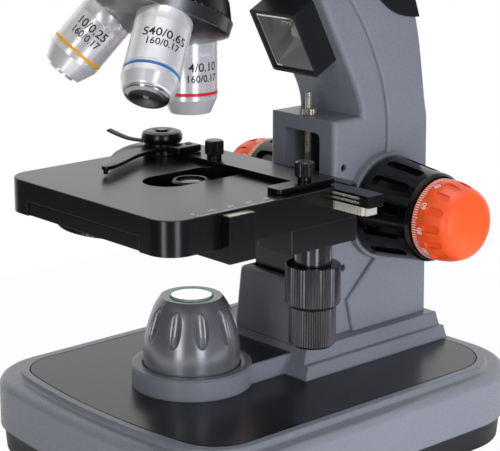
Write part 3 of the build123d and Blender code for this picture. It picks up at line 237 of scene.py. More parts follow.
finishes = {
    # satin spray paint on die-cast aluminium: even grey, fine orange peel that sparkles in the highlights
    "sprayedAluminiumGrey": {"colour": "#7c8089", "shade": "#787c85", "patchMm": 40, "grainMm": 0.7,
        "roughness": (0.26, 0.33),
        "bump": 0.015, "fleckMm": 0.8, "fleck": 0.06, "fleckColour": "#a9abb4", "edgeMm": 1.3},
    # silver lacquer on the hood: part metallic, with soft upright streaks from the lamps
    "silverLacquer": {"colour": "#8f9195", "shade": "#898b8f", "patchMm": 30, "grainMm": 0.8,
        "roughness": (0.23, 0.26),
        "sockets": {"Metallic": 0.65}},
    # matt anodised plate: almost black, takes a broad sheen at low angles
    "anodisedPlateBlack": {"colour": "#09090b", "shade": "#070709", "patchMm": 30, "grainMm": 0.7,
        "roughness": (0.24, 0.27),
        "bump": 0.008, "sockets": {"Specular IOR Level": 0.55}},
    # moulded ABS with a fine spark-eroded grain
    "mouldedAbsBlack": {"colour": "#1b1c1f", "shade": "#18191b", "patchMm": 25, "grainMm": 0.8,
        "roughness": (0.38, 0.46),
        "bump": 0.08, "edgeMm": 0.5, "sockets": {"Specular IOR Level": 0.4}},
    # soft rubber: dull, slightly dusty patches
    "mouldedRubberBlack": {"colour": "#1c1c1c", "shade": "#242424", "patchMm": 12, "grainMm": 0.7,
        "roughness": (0.72, 0.86), "bump": 0.3},
    # satin anodised stage parts: deep black fronts, grey sheen on top
    "anodisedStageBlack": {"colour": "#0a0a0b", "shade": "#08080a", "patchMm": 30, "grainMm": 0.6,
        "roughness": (0.22, 0.25),
        "bump": 0.003, "edgeMm": 0.4, "sockets": {"Specular IOR Level": 0.6}},
    # gloss moulded plastic knobs: black with small sharp lights
    "glossAbsBlack": {"colour": "#050506", "shade": "#040405", "patchMm": 20, "grainMm": 1.0,
        "roughness": (0.14, 0.18),
        "bump": 0.006, "edgeMm": 0.5, "sockets": {"Specular IOR Level": 0.4}},
    # orange ABS: strong colour, waxy soft lights
    "mouldedAbsOrange": {"colour": "#fb5f2b", "shade": "#f85926", "patchMm": 14, "grainMm": 0.8,
        "roughness": (0.28, 0.36),
        "bump": 0.03, "edgeMm": 0.5, "sockets": {"Specular IOR Level": 0.4}},
    # gun-blacked turned brass: glossy, nearly a black mirror
    "blackedTurnedMetal": {"colour": "#58585a", "shade": "#505052", "patchMm": 12, "grainMm": 0.7,
        "roughness": (0.16, 0.2),
        "bump": 0.006, "edgeMm": 0.2, "sockets": {"Metallic": 0.85}},
    # drawn steel: bright grey, fine scratches
    "drawnSteel": {"colour": "#d3cec0", "shade": "#c8c3b5", "patchMm": 6, "grainMm": 0.5,
        "roughness": (0.24, 0.3),
        "bump": 0.01, "sockets": {"Metallic": 0.75}},
    # milled brass rack
    "milledBrass": {"colour": "#b99a55", "shade": "#ab8c4a", "patchMm": 6, "grainMm": 0.5,
        "roughness": (0.26, 0.36),
        "bump": 0.05, "sockets": {"Metallic": 1.0}},
    # milled nickel-silver rack: pale, almost white
    "milledNickel": {"colour": "#e4e2da", "shade": "#d8d6ce", "patchMm": 8, "grainMm": 0.5,
        "roughness": (0.28, 0.38),
        "bump": 0.03, "sockets": {"Metallic": 0.5}},
    # spun satin nickel on the nosepiece dish and the eye tube
    "spunNickel": {"colour": "#8e8f92", "shade": "#868789", "patchMm": 14, "grainMm": 0.5,
        "roughness": (0.28, 0.34),
        "bump": 0.01, "edgeMm": 0.4, "sockets": {"Metallic": 1.0}},
    # coated optical glass
    "coatedGlass": {"colour": "#e6eef0", "shade": "#dfe9ec", "patchMm": 20, "grainMm": 1.0,
        "roughness": (0.03, 0.05),
        "sockets": {"Transmission Weight": 0.85, "IOR": 1.52}},
    # opal glass over the lamp: white and lit from below
    "opalGlassLit": {"colour": "#ffffff", "shade": "#f6fbf9", "patchMm": 20, "grainMm": 1.0,
        "roughness": (0.18, 0.22),
        "sockets": {"Emission Color": hexToLinear("#fbfffd"), "Emission Strength": 0.95}},
    # vacuum-metallised funnel: mirror with a faint haze
    "metallisedMirror": {"colour": "#f2f2f2", "shade": "#ebebeb", "patchMm": 10, "grainMm": 2.0,
        "roughness": (0.03, 0.06),
        "bump": 0.05, "sockets": {"Metallic": 0.84}},
    # clear moulded lamp cap, greyed by the chip behind it
    "mouldedAcrylicClear": {"colour": "#c4c4bd", "shade": "#b2b2a8", "patchMm": 5, "grainMm": 0.5,
        "roughness": (0.12, 0.2)},
    # baked enamel in the grooves
    "enamelRed": {"colour": "#d3222c", "shade": "#c81d28", "patchMm": 6, "grainMm": 0.6,
        "roughness": (0.3, 0.38), "bump": 0.02},
    "enamelYellow": {"colour": "#f2ad1a", "shade": "#e8a214", "patchMm": 6, "grainMm": 0.6,
        "roughness": (0.3, 0.38), "bump": 0.02},
    "enamelBlue": {"colour": "#2b73b9", "shade": "#256aae", "patchMm": 6, "grainMm": 0.6,
        "roughness": (0.3, 0.38), "bump": 0.02},
    # screen-printed inks
    "printedInkBlack": {"colour": "#1a1b1d", "shade": "#151618", "patchMm": 2, "grainMm": 0.4,
        "roughness": (0.5, 0.62), "bump": 0.02},
    "printedInkWhite": {"colour": "#f6f3ee", "shade": "#ebe7e1", "patchMm": 2, "grainMm": 0.4,
        "roughness": (0.5, 0.62), "bump": 0.02},
}
for size, place in barrelFrames.items():
    # satin chrome, lathe-turned: soft lights drawn out along the barrel; its rings only vary the gloss a little
    finishes["turnedChrome" + size.title()] = {"colour": "#ededf0", "shade": "#e7e7ea", "patchMm": 8,
        "grainMm": 0.4, "roughness": (0.26, 0.27), "lathe": place,
        "sockets": {"Metallic": 0.5, "Anisotropic": 0.4, "Anisotropic Rotation": 0.25}}
# bright-turned steel of the sprung nose: the tool marks fan the lights out like a star
finishes["turnedSteelNose"] = {"colour": "#bdbdbf", "shade": "#b5b5b8", "patchMm": 6,
    "grainMm": 0.4, "roughness": (0.2, 0.22), "lathe": barrelFrames["high"],
    "sockets": {"Metallic": 1.0, "Anisotropic": 0.85, "Anisotropic Rotation": 0.25}}
# green-edged float glass round the lamp window
finishes["floatGlassEdge"] = {"colour": "#7fb0a3", "shade": "#6ea294", "patchMm": 6,
    "grainMm": 0.5, "roughness": (0.1, 0.14)}
materials = {name: makeFinish(name, look) for name, look in finishes.items()}
slotFinish = {
    "casting_grey": "sprayedAluminiumGrey", "plate_black": "anodisedPlateBlack", "tray_black": "mouldedAbsBlack",
    "rubber_black": "mouldedRubberBlack", "stage_black": "anodisedStageBlack", "knob_black": "glossAbsBlack",
    "knob_orange": "mouldedAbsOrange", "drive_black": "blackedTurnedMetal", "steel": "drawnSteel",
    "rack_brass": "milledBrass", "rack_white": "milledNickel", "objective_chrome": "turnedChromeLow",
    "turret_silver": "spunNickel", "lens_glass": "coatedGlass", "lens_white": "opalGlassLit",
    "reflector_mirror": "metallisedMirror", "led_yellow": "mouldedAcrylicClear",
}
nodeFinish = {"lamp_hood": "silverLacquer", "objective_middle": "turnedChromeMiddle",
    "objective_high": "turnedChromeHigh", "objective_nose": "turnedSteelNose", "finger_pivot": "glossAbsBlack"}
for entry in frame["record"]["subparts"]:
    piece = nodes[entry["node"]]
    piece.data.materials.clear()
    piece.data.materials.append(materials[nodeFinish.get(entry["node"], slotFinish[entry["material_slot"]])])
print("finishes:", len(materials), "on", len(nodes), "nodes")


def roundRing(inner, outer, length, edge, sides=96):  # a ring round Z with softened edges, foot at z = 0
    deselectAll()
    bpy.ops.mesh.primitive_cylinder_add(vertices=sides, radius=outer * mm, depth=length * mm,
        end_fill_type="NGON", location=(0, 0, length * mm / 2))
    bpy.ops.object.transform_apply(location=True, rotation=False, scale=False)
    ring = bpy.context.object
    openEdit(ring, "FACE", lambda spot, face: abs(face.z) > 0.9)
    bpy.ops.mesh.inset(thickness=(outer - inner) * mm)
    bpy.ops.mesh.bridge_edge_loops()
    bpy.ops.mesh.select_all(action="SELECT")
    bpy.ops.mesh.normals_make_consistent(inside=False)
    closeEdit()
    applyModifier(ring, "BEVEL", width=edge * mm, segments=2, limit_method="ANGLE",
        angle_limit=math.radians(40))
    return ring


def writeWords(text, cap, wide, bold=0.06, thick=0.05):  # lettering of this cap height and width, lying on z = 0
    deselectAll()
    bpy.ops.object.text_add()
    words = bpy.context.object
    words.data.body = text
    words.data.align_x, words.data.align_y = "CENTER", "CENTER"
    words.data.size = cap / 0.7 * mm  # the font's figures are 0.7 of its size
    words.data.resolution_u = 3
    words.data.offset = bold * mm
    words.data.extrude = thick * mm
    bpy.ops.object.convert(target="MESH")
    words = bpy.context.object
    openEdit(words, "VERT")
    bpy.ops.mesh.remove_doubles(threshold=0.002 * mm)
    closeEdit()
    across = [point.co.x for point in words.data.vertices]
    middle, stretch = (max(across) + min(across)) / 2, wide * mm / (max(across) - min(across))
    for point in words.data.vertices:
        point.co.x = (point.co.x - middle) * stretch
    return words


# Bends lettering round a barrel; way 1 writes it with its top along Z, way -1 against it.
def wrapWords(words, place, radius, turn, along, way):
    half = max(point.co.x for point in words.data.vertices)
    cuts = int(2 * half / (0.5 * mm))  # one every half millimetre, so that the letters bend
    for i in range(1, cuts):
        openEdit(words, "VERT")
        bpy.ops.mesh.bisect(plane_co=(-half + 2 * half * i / cuts, 0, 0), plane_no=(1, 0, 0), threshold=1e-7)
        closeEdit()
    for point in words.data.vertices:
        angle = math.radians(turn) + way * point.co.x / (radius * mm)
        reach = radius * mm + point.co.z
        spot = Vector((reach * math.cos(angle), reach * math.sin(angle), along * mm + way * point.co.y))
        point.co = place @ spot
    return words


def halfDome(radius, rise, segments, rings):  # upper half of a ball, flattened to this rise, closed below
    deselectAll()
    bpy.ops.mesh.primitive_uv_sphere_add(segments=segments, ring_count=rings, radius=radius * mm)
    dome = bpy.context.object
    openEdit(dome, "VERT")
    bpy.ops.mesh.bisect(plane_co=(0, 0, 0), plane_no=(0, 0, 1), clear_inner=True, use_fill=True, threshold=1e-7)
    bpy.ops.mesh.select_all(action="SELECT")
    bpy.ops.transform.resize(value=(1, 1, rise / radius), center_override=(0, 0, 0))
    bpy.ops.mesh.normals_make_consistent(inside=False)
    closeEdit()
    return dome


def inkStroke(size, spot, outer, margin):  # a printed stroke; outer is the axis that its face looks along
    deselectAll()
    bpy.ops.mesh.primitive_cube_add(size=1, scale=tuple(side * mm for side in size), location=spot)
    stroke = bpy.context.object
    bpy.ops.object.transform_apply(location=True, rotation=True, scale=True)
    openEdit(stroke, "FACE", lambda middle, face: face[outer] > 0.9)
    bpy.ops.mesh.inset(thickness=margin * mm)
    closeEdit()
    return stroke


def meshFromCurve(name, curve):
    drawn = bpy.data.objects.new(name, curve)
    bpy.context.scene.collection.objects.link(drawn)
    pick(drawn)
    bpy.ops.object.convert(target="MESH")
    return bpy.context.object


def alongAxis(place, along):
    return place @ Matrix.Translation((0, 0, along * mm))


# Objectives: an enamel band in each groove, two lines of lettering, and the front lens in its ring.
objectiveDress = {
    "low": {"band": 19.1, "enamel": "enamelRed", "turn": 10.5, "body": "turret", "lens": (27.1, 4.6, 0.9),
        "lines": (("4/0.10", 7.4, 3.8, 13.7), ("160/0.17", 12.3, 3.1, 14.4))},
    "middle": {"band": 18.5, "enamel": "enamelYellow", "turn": 162, "body": "turret", "lens": (29.6, 2.7, 0.5),
        "lines": (("10/0.25", 6.9, 3.8, 14.8), ("160/0.17", 11.6, 3.1, 14.2))},
    "high": {"band": 24.0, "enamel": "enamelBlue", "turn": -88.5, "body": "nose", "lens": (33.7, 1.4, 0.3),
        "lines": (("S40/0.65", 9.8, 3.8, 19.6), ("160/0.17", 14.2, 3.1, 14.6))},
}
bandSetup = {"width": 1.4, "depth": 0.3, "proud": 0.05, "edge": 0.05}
# plain sleeve that hides the seat of each barrel
collarSetup = {"from": -3.2, "to": 2.6, "inner": 11.22, "proud": 0.03, "edge": 0.03}
lensRingSetup = {"outer": 1.22, "high": 0.8, "edge": 0.2, "sides": 64}  # shares of the lens's radius and rise
for size, dress in objectiveDress.items():
    place = barrelFrames[size]
    barrel = turretSetup["barrel"]
    band = roundRing(barrel - bandSetup["depth"], barrel + bandSetup["proud"], bandSetup["width"], bandSetup["edge"])
    setIn(band, alongAxis(place, dress["band"] - bandSetup["width"] / 2))
    finishPiece(band, "objective_band_" + size, materials[dress["enamel"]], "turret")
    collar = roundRing(collarSetup["inner"], barrel + collarSetup["proud"],
        collarSetup["to"] - collarSetup["from"], collarSetup["edge"])
    setIn(collar, alongAxis(place, collarSetup["from"]))
    chrome = materials["turnedChrome" + size.title()]
    finishPiece(collar, "objective_collar_" + size, chrome, "turret")
    written = []
    for text, along, cap, wide in dress["lines"]:
        written.append(wrapWords(writeWords(text, cap, wide), place, barrel, dress["turn"], along, -1))
    finishPiece(joinAll(written), "objective_words_" + size, materials["printedInkBlack"], "turret")
    floorAt, lensRadius, rise = dress["lens"]
    lens = halfDome(lensRadius, rise, 40, 24)
    setIn(lens, alongAxis(place, floorAt))
    finishPiece(lens, "objective_lens_" + size, materials["coatedGlass"], dress["body"])
    seat = roundRing(lensRadius, lensRadius * lensRingSetup["outer"], rise * lensRingSetup["high"],
        rise * lensRingSetup["edge"], lensRingSetup["sides"])
    setIn(seat, alongAxis(place, floorAt))
    finishPiece(seat, "objective_lens_ring_" + size, materials["blackedTurnedMetal"], dress["body"])
print("objectives dressed:", len(objectiveDress))

# Fine focus dial: a hundred strokes and ten numbers on the plain foot of each orange knob.
dialSetup = {"y": 101.0, "z": 110.2, "radius": 18.7, "start": 57.0, "short": 2.4, "mid": 2.9, "long": 3.3,
    "stroke": 0.42, "thick": 0.12, "margin": 0.04, "strokeTurn": 3.6, "numberAt": 61.9, "cap": 2.6,
    "digit": 0.62, "bold": 0.05, "firstTurn": 138.5, "numberTurn": 36, "step": 20}
dialFrame = Matrix(((0, 0, -1, 0), (-1, 0, 0, 0), (0, 1, 0, 0), (0, 0, 0, 1)))  # Z to the arm, X to the front, Y up
dialFrame.translation = onAxis(0, dialSetup["y"], dialSetup["z"])
strokes = []
for i in range(10):
    length = dialSetup["long"] if i == 0 else dialSetup["mid"] if i == 5 else dialSetup["short"]
    spot = (dialSetup["radius"] * mm, 0, -(dialSetup["start"] + length / 2) * mm)
    stroke = inkStroke((dialSetup["thick"], dialSetup["stroke"], length), spot, 0, dialSetup["margin"])
    setIn(stroke, Matrix.Rotation(math.radians(dialSetup["firstTurn"] + dialSetup["strokeTurn"] * i), 4, "Z"))
    strokes.append(stroke)
dial = joinAll(strokes)
openEdit(dial, "VERT")
bpy.ops.mesh.spin(steps=9, dupli=True, angle=math.radians(dialSetup["numberTurn"] * 9),
    center=(0, 0, 0), axis=(0, 0, 1))
bpy.ops.mesh.select_all(action="SELECT")
bpy.ops.mesh.normals_make_consistent(inside=False)
closeEdit()
setIn(dial, dialFrame)
numbers = []
for n in range(10):
    text = str(n * dialSetup["step"])
    words = writeWords(text, dialSetup["cap"], dialSetup["digit"] * dialSetup["cap"] * len(text), dialSetup["bold"])
    turn = dialSetup["firstTurn"] - dialSetup["numberTurn"] * n
    numbers.append(wrapWords(words, dialFrame, dialSetup["radius"], turn, -dialSetup["numberAt"], 1))
rightDial = joinAll([dial] + numbers)
leftDial = copyOf(rightDial)
centre = Matrix.Translation(dialFrame.translation)
halfTurn = centre @ Matrix.Rotation(math.pi, 4, "Z") @ Matrix.Translation(-dialFrame.translation)
setIn(leftDial, halfTurn)
finishPiece(rightDial, "fine_dial_right", materials["printedInkWhite"], "fine")
finishPiece(leftDial, "fine_dial_left", materials["printedInkWhite"], "fine")
capSetup = {"radius": 12.4, "sunk": 0.25, "rise": 1.1, "end": 76.4}  # moulded face that closes each knob over its shaft
for side, name in ((1, "right"), (-1, "left")):
    cap = halfDome(capSetup["radius"], capSetup["rise"], 64, 32)
    at = onAxis(side * (capSetup["end"] - capSetup["sunk"]), dialSetup["y"], dialSetup["z"])
    setIn(cap, Matrix.Translation(at) @ Matrix.Rotation(side * math.pi / 2, 4, "Y"))
    finishPiece(cap, "fine_knob_cap_" + name, materials["mouldedAbsOrange"], "fine")
print("dials written")

# Lamp ring: the grey lip round the hood's foot.
lipSetup = {"inner": 22.25, "outer": 27.25, "from": 49.0, "to": 49.9, "edge": 0.45}
lip = roundRing(lipSetup["inner"], lipSetup["outer"], lipSetup["to"] - lipSetup["from"], lipSetup["edge"])
setIn(lip, Matrix.Translation(onAxis(0, 0, lipSetup["from"])))
finishPiece(lip, "lamp_ring_lip", materials["sprayedAluminiumGrey"], "base")
# ground edge of the lamp's glass
windowSetup = {"inner": 9.1, "outer": 9.9, "thick": 0.5, "edge": 0.1, "sunk": 0.42}
rim = roundRing(windowSetup["inner"], windowSetup["outer"], windowSetup["thick"], windowSetup["edge"])
setIn(rim, Matrix.Translation((0, axisY, lensHigh.z - windowSetup["sunk"] * mm)))
finishPiece(rim, "lamp_glass_edge", materials["floatGlassEdge"], "base")
print("lamp ring dressed")

# Slide finger: the broad curved blade that presses on the slide's corner.
bladeSetup = {"foot": 138.4, "thick": 1.7, "edge": 0.2, "points": (
    (-40.0, 17.0), (-38.3, 10.5), (-36.4, -0.5), (-31.8, -9.0), (-27.6, -16.6), (-24.6, -24.0), (-24.0, -28.4),
    (-27.8, -28.6), (-33.0, -22.6), (-40.4, -13.2), (-46.6, -6.0), (-51.2, 1.6), (-55.0, 10.0), (-55.6, 19.0),
    (-48.0, 24.0))}
outline = bpy.data.curves.new("finger_blade", "CURVE")
outline.dimensions, outline.fill_mode = "2D", "BOTH"
outline.extrude = (bladeSetup["thick"] / 2 - bladeSetup["edge"]) * mm
outline.bevel_depth, outline.bevel_resolution = bladeSetup["edge"] * mm, 2
bladeRun = outline.splines.new("NURBS")
bladeRun.points.add(len(bladeSetup["points"]) - 1)
for point, (x, y) in zip(bladeRun.points, bladeSetup["points"]):
    point.co = (*onAxis(x, y, 0).to_2d(), 0, 1)
bladeRun.use_cyclic_u, bladeRun.order_u, bladeRun.resolution_u = True, 3, 6
blade = meshFromCurve("finger_blade", outline)
openEdit(blade, "VERT")
bpy.ops.mesh.remove_doubles(threshold=0.002 * mm)
bpy.ops.mesh.normals_make_consistent(inside=False)
closeEdit()
setIn(blade, Matrix.Translation((0, 0, (bladeSetup["foot"] + bladeSetup["thick"] / 2) * mm)))
# base and cap of the hub: radius, height, edge
hubSetup = {"x": -47.0, "y": 22.0, "foot": 138.35, "bore": 2.7, "base": (8.3, 2.4, 0.3), "cap": (9.7, 5.9, 2.3),
    "capAt": 2.2}
hubBase = roundRing(hubSetup["bore"], *hubSetup["base"])
setIn(hubBase, Matrix.Translation(onAxis(hubSetup["x"], hubSetup["y"], hubSetup["foot"])))
hubCap = roundRing(hubSetup["bore"], *hubSetup["cap"])
setIn(hubCap, Matrix.Translation(onAxis(hubSetup["x"], hubSetup["y"], hubSetup["foot"] + hubSetup["capAt"])))
# a flattened round bar, bent upwards
leverSetup = {"wide": 1.7, "thick": 0.85, "points": (
    (-49.0, 18.0, 141.4), (-55.5, 13.0, 141.5), (-62.5, 10.2, 142.6), (-69.8, 8.0, 145.0))}
leverLine = bpy.data.curves.new("finger_lever", "CURVE")
leverLine.dimensions, leverLine.use_fill_caps = "3D", True
leverLine.bevel_depth, leverLine.bevel_resolution = leverSetup["wide"] * mm, 4
leverRun = leverLine.splines.new("NURBS")
leverRun.points.add(len(leverSetup["points"]) - 1)
for point, spot in zip(leverRun.points, leverSetup["points"]):
    point.co = (spot[0] * mm, spot[1] * mm, spot[2] * mm * leverSetup["wide"] / leverSetup["thick"], 1)
leverRun.use_endpoint_u, leverRun.order_u, leverRun.resolution_u = True, 3, 8
lever = meshFromCurve("finger_lever", leverLine)
flatten = Matrix.Diagonal((1, 1, leverSetup["thick"] / leverSetup["wide"], 1))
setIn(lever, Matrix.Translation((0, axisY, 0)) @ flatten)
pinSetup = {"x": -26.2, "y": -27.0, "foot": 136.4, "bore": 0.2, "radius": 1.1, "length": 3.6, "edge": 0.15, "sides": 24}
pin = roundRing(pinSetup["bore"], pinSetup["radius"], pinSetup["length"], pinSetup["edge"], pinSetup["sides"])
setIn(pin, Matrix.Translation(onAxis(pinSetup["x"], pinSetup["y"], pinSetup["foot"])))
finger = joinAll([blade, hubBase, hubCap, lever, pin])
finishPiece(finger, "finger_blade", materials["anodisedStageBlack"], "finger")
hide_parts("slide_finger")

# Slide holder: the raised stop block beside the hub, with its screw.
stopSetup = {"x": (-37.2, -28.3), "y": (16.5, 30.4), "z": (138.2, 141.4), "edge": 0.5, "screw": (-33.6, 27.0),
    "screwRadius": 1.7, "screwBore": 0.7, "screwHigh": 0.9, "screwEdge": 0.3, "screwSunk": 0.5, "screwSides": 32}
stopLow, stopHigh = [onAxis(*(stopSetup[k][i] for k in "xyz")) for i in (0, 1)]
deselectAll()
bpy.ops.mesh.primitive_cube_add(size=1)
block = bpy.context.object
setIn(block, Matrix.Translation((stopLow + stopHigh) / 2) @ Matrix.Diagonal((*(stopHigh - stopLow), 1)))
applyModifier(block, "BEVEL", width=stopSetup["edge"] * mm, segments=3)
finishPiece(block, "holder_stop_block", materials["anodisedStageBlack"], "cross_slide")
screwHead = roundRing(stopSetup["screwBore"], stopSetup["screwRadius"], stopSetup["screwHigh"],
    stopSetup["screwEdge"], stopSetup["screwSides"])
setIn(screwHead, Matrix.Translation(onAxis(*stopSetup["screw"], stopSetup["z"][1] - stopSetup["screwSunk"])))
finishPiece(screwHead, "holder_stop_screw", materials["blackedTurnedMetal"], "cross_slide")
print("slide finger and holder shaped")

# Stage scale: millimetre strokes along the right edge, and the vernier strip on its bracket.
scaleSetup = {"edge": 56.6, "from": -42.5, "count": 41, "short": 1.2, "mid": 1.6, "long": 2.2, "stroke": 0.3,
    "thick": 0.08, "margin": 0.04, "top": 135.6, "numberAt": 51.9, "cap": 2.2, "digit": 0.66, "bold": 0.05, "ink": 0.04}
marks = []
for i in range(scaleSetup["count"]):
    length = scaleSetup["long"] if i % 10 == 0 else scaleSetup["mid"] if i % 5 == 0 else scaleSetup["short"]
    spot = onAxis(scaleSetup["edge"] - length / 2, scaleSetup["from"] + i, scaleSetup["top"])
    marks.append(inkStroke((length, scaleSetup["stroke"], scaleSetup["thick"]), spot, 2, scaleSetup["margin"]))
quarter = Matrix.Rotation(math.pi / 2, 4, "Z")
for i in range(0, scaleSetup["count"], 10):
    text = str(i)
    wide = scaleSetup["digit"] * scaleSetup["cap"] * len(text)
    words = writeWords(text, scaleSetup["cap"], wide, scaleSetup["bold"], scaleSetup["ink"])
    spot = onAxis(scaleSetup["numberAt"], scaleSetup["from"] + i, scaleSetup["top"])
    setIn(words, Matrix.Translation(spot) @ quarter)
    marks.append(words)
finishPiece(joinAll(marks), "stage_scale", materials["printedInkWhite"], "stage")
vernierSetup = {"inset": 0.5, "thick": 0.3, "corner": 0.8, "edge": 0.05, "strokes": 11, "pitch": 0.9, "stroke": 0.22,
    "long": 1.6, "ink": 0.08, "margin": 0.03, "room": 0.2}
plateLow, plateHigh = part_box("vernier_block")
wide = plateHigh.x - plateLow.x - 2 * vernierSetup["inset"] * mm
deep = plateHigh.y - plateLow.y - 2 * vernierSetup["inset"] * mm
middleX, middleY = (plateLow.x + plateHigh.x) / 2, (plateLow.y + plateHigh.y) / 2
deselectAll()
bpy.ops.mesh.primitive_cube_add(size=1, scale=(wide, deep, vernierSetup["thick"] * mm),
    location=(middleX, middleY, plateHigh.z + 0.4 * vernierSetup["thick"] * mm))  # a tenth of it sits in the plate
strip = bpy.context.object
bpy.ops.object.transform_apply(location=True, rotation=True, scale=True)
openEdit(strip, "EDGE", lambda a, b: abs(a.z - b.z) > 0.1 * mm)
bpy.ops.mesh.bevel(offset=vernierSetup["corner"] * mm, segments=4, affect="EDGES")
closeEdit()
applyModifier(strip, "BEVEL", width=vernierSetup["edge"] * mm, segments=2, limit_method="ANGLE",
    angle_limit=math.radians(50))
finishPiece(strip, "vernier_strip", materials["drawnSteel"], "carriage")
vernierLines = []
for i in range(vernierSetup["strokes"]):
    spot = (plateLow.x + (vernierSetup["inset"] + vernierSetup["room"] + vernierSetup["long"] / 2) * mm,
        middleY + (i - vernierSetup["strokes"] // 2) * vernierSetup["pitch"] * mm,
        plateHigh.z + 0.9 * vernierSetup["thick"] * mm)  # the strip's top
    size = (vernierSetup["long"], vernierSetup["stroke"], vernierSetup["ink"])
    vernierLines.append(inkStroke(size, spot, 2, vernierSetup["margin"]))
finishPiece(joinAll(vernierLines), "vernier_strokes", materials["printedInkBlack"], "carriage")
print("stage scale written")

# Stop screw: a rolled thread, as the solid only has a plain rod.
threadSetup = {"pitch": 0.9, "core": 1.4, "crest": 1.66, "ridge": 0.42, "chamfer": 0.25, "start": 0.4, "plain": 1.2,
    "steps": 20}
rodLow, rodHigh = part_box("stop_rod")
rodLength = rodHigh.z - rodLow.z
deselectAll()
bpy.ops.mesh.primitive_cylinder_add(vertices=32, radius=threadSetup["core"] * mm, depth=rodLength)
core = bpy.context.object
openEdit(core, "FACE", lambda spot, face: abs(face.z) > 0.9)
bpy.ops.mesh.bevel(offset=threadSetup["chamfer"] * mm, segments=2, affect="EDGES")
closeEdit()
deselectAll()
turns = int((rodLength / mm - threadSetup["plain"]) / threadSetup["pitch"])
bpy.ops.mesh.primitive_circle_add(vertices=3, radius=threadSetup["ridge"] * mm, rotation=(math.pi / 2, 0, 0),
    fill_type="NOTHING")
ridge = bpy.context.object
ridgeFoot = ((threadSetup["crest"] - threadSetup["ridge"]) * mm, 0, -rodLength / 2 + threadSetup["start"] * mm)
setIn(ridge, Matrix.Translation(ridgeFoot) @ Matrix.Rotation(math.pi / 2, 4, "Y") @ ridge.matrix_world)
applyModifier(ridge, "SCREW", axis="Z", screw_offset=threadSetup["pitch"] * mm, iterations=turns,
    steps=threadSetup["steps"], render_steps=threadSetup["steps"])
openEdit(ridge, "VERT")
bpy.ops.mesh.remove_doubles(threshold=1e-7)
bpy.ops.mesh.fill_holes(sides=4)
bpy.ops.mesh.normals_make_consistent(inside=False)
closeEdit()
rod = joinAll([core, ridge])
setIn(rod, Matrix.Translation((rodLow + rodHigh) / 2))
finishPiece(rod, "stop_screw_thread", materials["drawnSteel"], "stop_screw")
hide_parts("stop_rod")
print("stop screw threaded:", turns, "turns")

# Small fasteners: socket set screws in the arm and bracket, pan-head screws under the tray.
screwSetup = {"setRadius": 1.5, "setLength": 1.7, "setEdge": 0.12, "socket": 0.85, "socketDeep": 1.6,
    "panRadius": 3.0, "panHeight": 1.5, "panRound": 0.6, "cross": (3.4, 0.7, 1.4)}
deselectAll()
bpy.ops.mesh.primitive_cylinder_add(vertices=32, radius=screwSetup["setRadius"] * mm,
    depth=screwSetup["setLength"] * mm)
setScrew = bpy.context.object
deselectAll()
bpy.ops.mesh.primitive_cylinder_add(vertices=6, radius=screwSetup["socket"] * mm,
    depth=screwSetup["socketDeep"] * mm, location=(0, 0, screwSetup["setLength"] / 2 * mm))
cutter = bpy.context.object
applyModifier(setScrew, "BOOLEAN", operation="DIFFERENCE", object=cutter)
bpy.data.objects.remove(cutter)
applyModifier(setScrew, "BEVEL", width=screwSetup["setEdge"] * mm, segments=2, limit_method="ANGLE",
    angle_limit=math.radians(70))
toRight = Matrix.Rotation(math.pi / 2, 4, "Y")
toLeft = Matrix.Rotation(-math.pi / 2, 4, "Y")
toFront = Matrix.Rotation(math.pi / 2, 4, "X")
screwPlaces = [((19.6, 74.0, 132.0), toRight, "base"), ((18.7, 74.5, 84.0), toRight, "base"),
    ((-19.6, 74.0, 132.0), toLeft, "base"), ((-18.7, 74.5, 84.0), toLeft, "base"),
    ((-12.0, 17.2, 114.35), toFront, "carriage"), ((24.0, 17.2, 114.35), toFront, "carriage")]
for i, (spot, turn, body) in enumerate(screwPlaces):
    twin = copyOf(setScrew)
    setIn(twin, Matrix.Translation(onAxis(*spot)) @ turn)
    finishPiece(twin, "set_screw_" + str(i + 1), materials["blackedTurnedMetal"], body)
bpy.data.objects.remove(setScrew)
deselectAll()
bpy.ops.mesh.primitive_cylinder_add(vertices=40, radius=screwSetup["panRadius"] * mm,
    depth=screwSetup["panHeight"] * mm)
panScrew = bpy.context.object
openEdit(panScrew, "EDGE", lambda a, b: a.z < 0 and b.z < 0)
bpy.ops.mesh.bevel(offset=screwSetup["panRound"] * mm, segments=4, affect="EDGES")
closeEdit()
for turn in (0, math.pi / 2):
    deselectAll()
    bpy.ops.mesh.primitive_cube_add(size=1, scale=tuple(side * mm for side in screwSetup["cross"]),
        location=(0, 0, -screwSetup["panHeight"] / 2 * mm), rotation=(0, 0, turn))
    cutter = bpy.context.object
    applyModifier(panScrew, "BOOLEAN", operation="DIFFERENCE", object=cutter)
    bpy.data.objects.remove(cutter)
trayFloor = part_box("base_tray")[0].z
trayPlaces = ((-48, -28), (48, -28), (-48, 104), (48, 104))
for i, (x, y) in enumerate(trayPlaces):
    twin = copyOf(panScrew)
    spot = onAxis(x, y, 0)
    setIn(twin, Matrix.Translation((spot.x, spot.y, trayFloor - screwSetup["panHeight"] / 2 * mm)))
    finishPiece(twin, "tray_screw_" + str(i + 1), materials["drawnSteel"], "base")
bpy.data.objects.remove(panScrew)
print("fasteners placed:", len(screwPlaces) + len(trayPlaces))

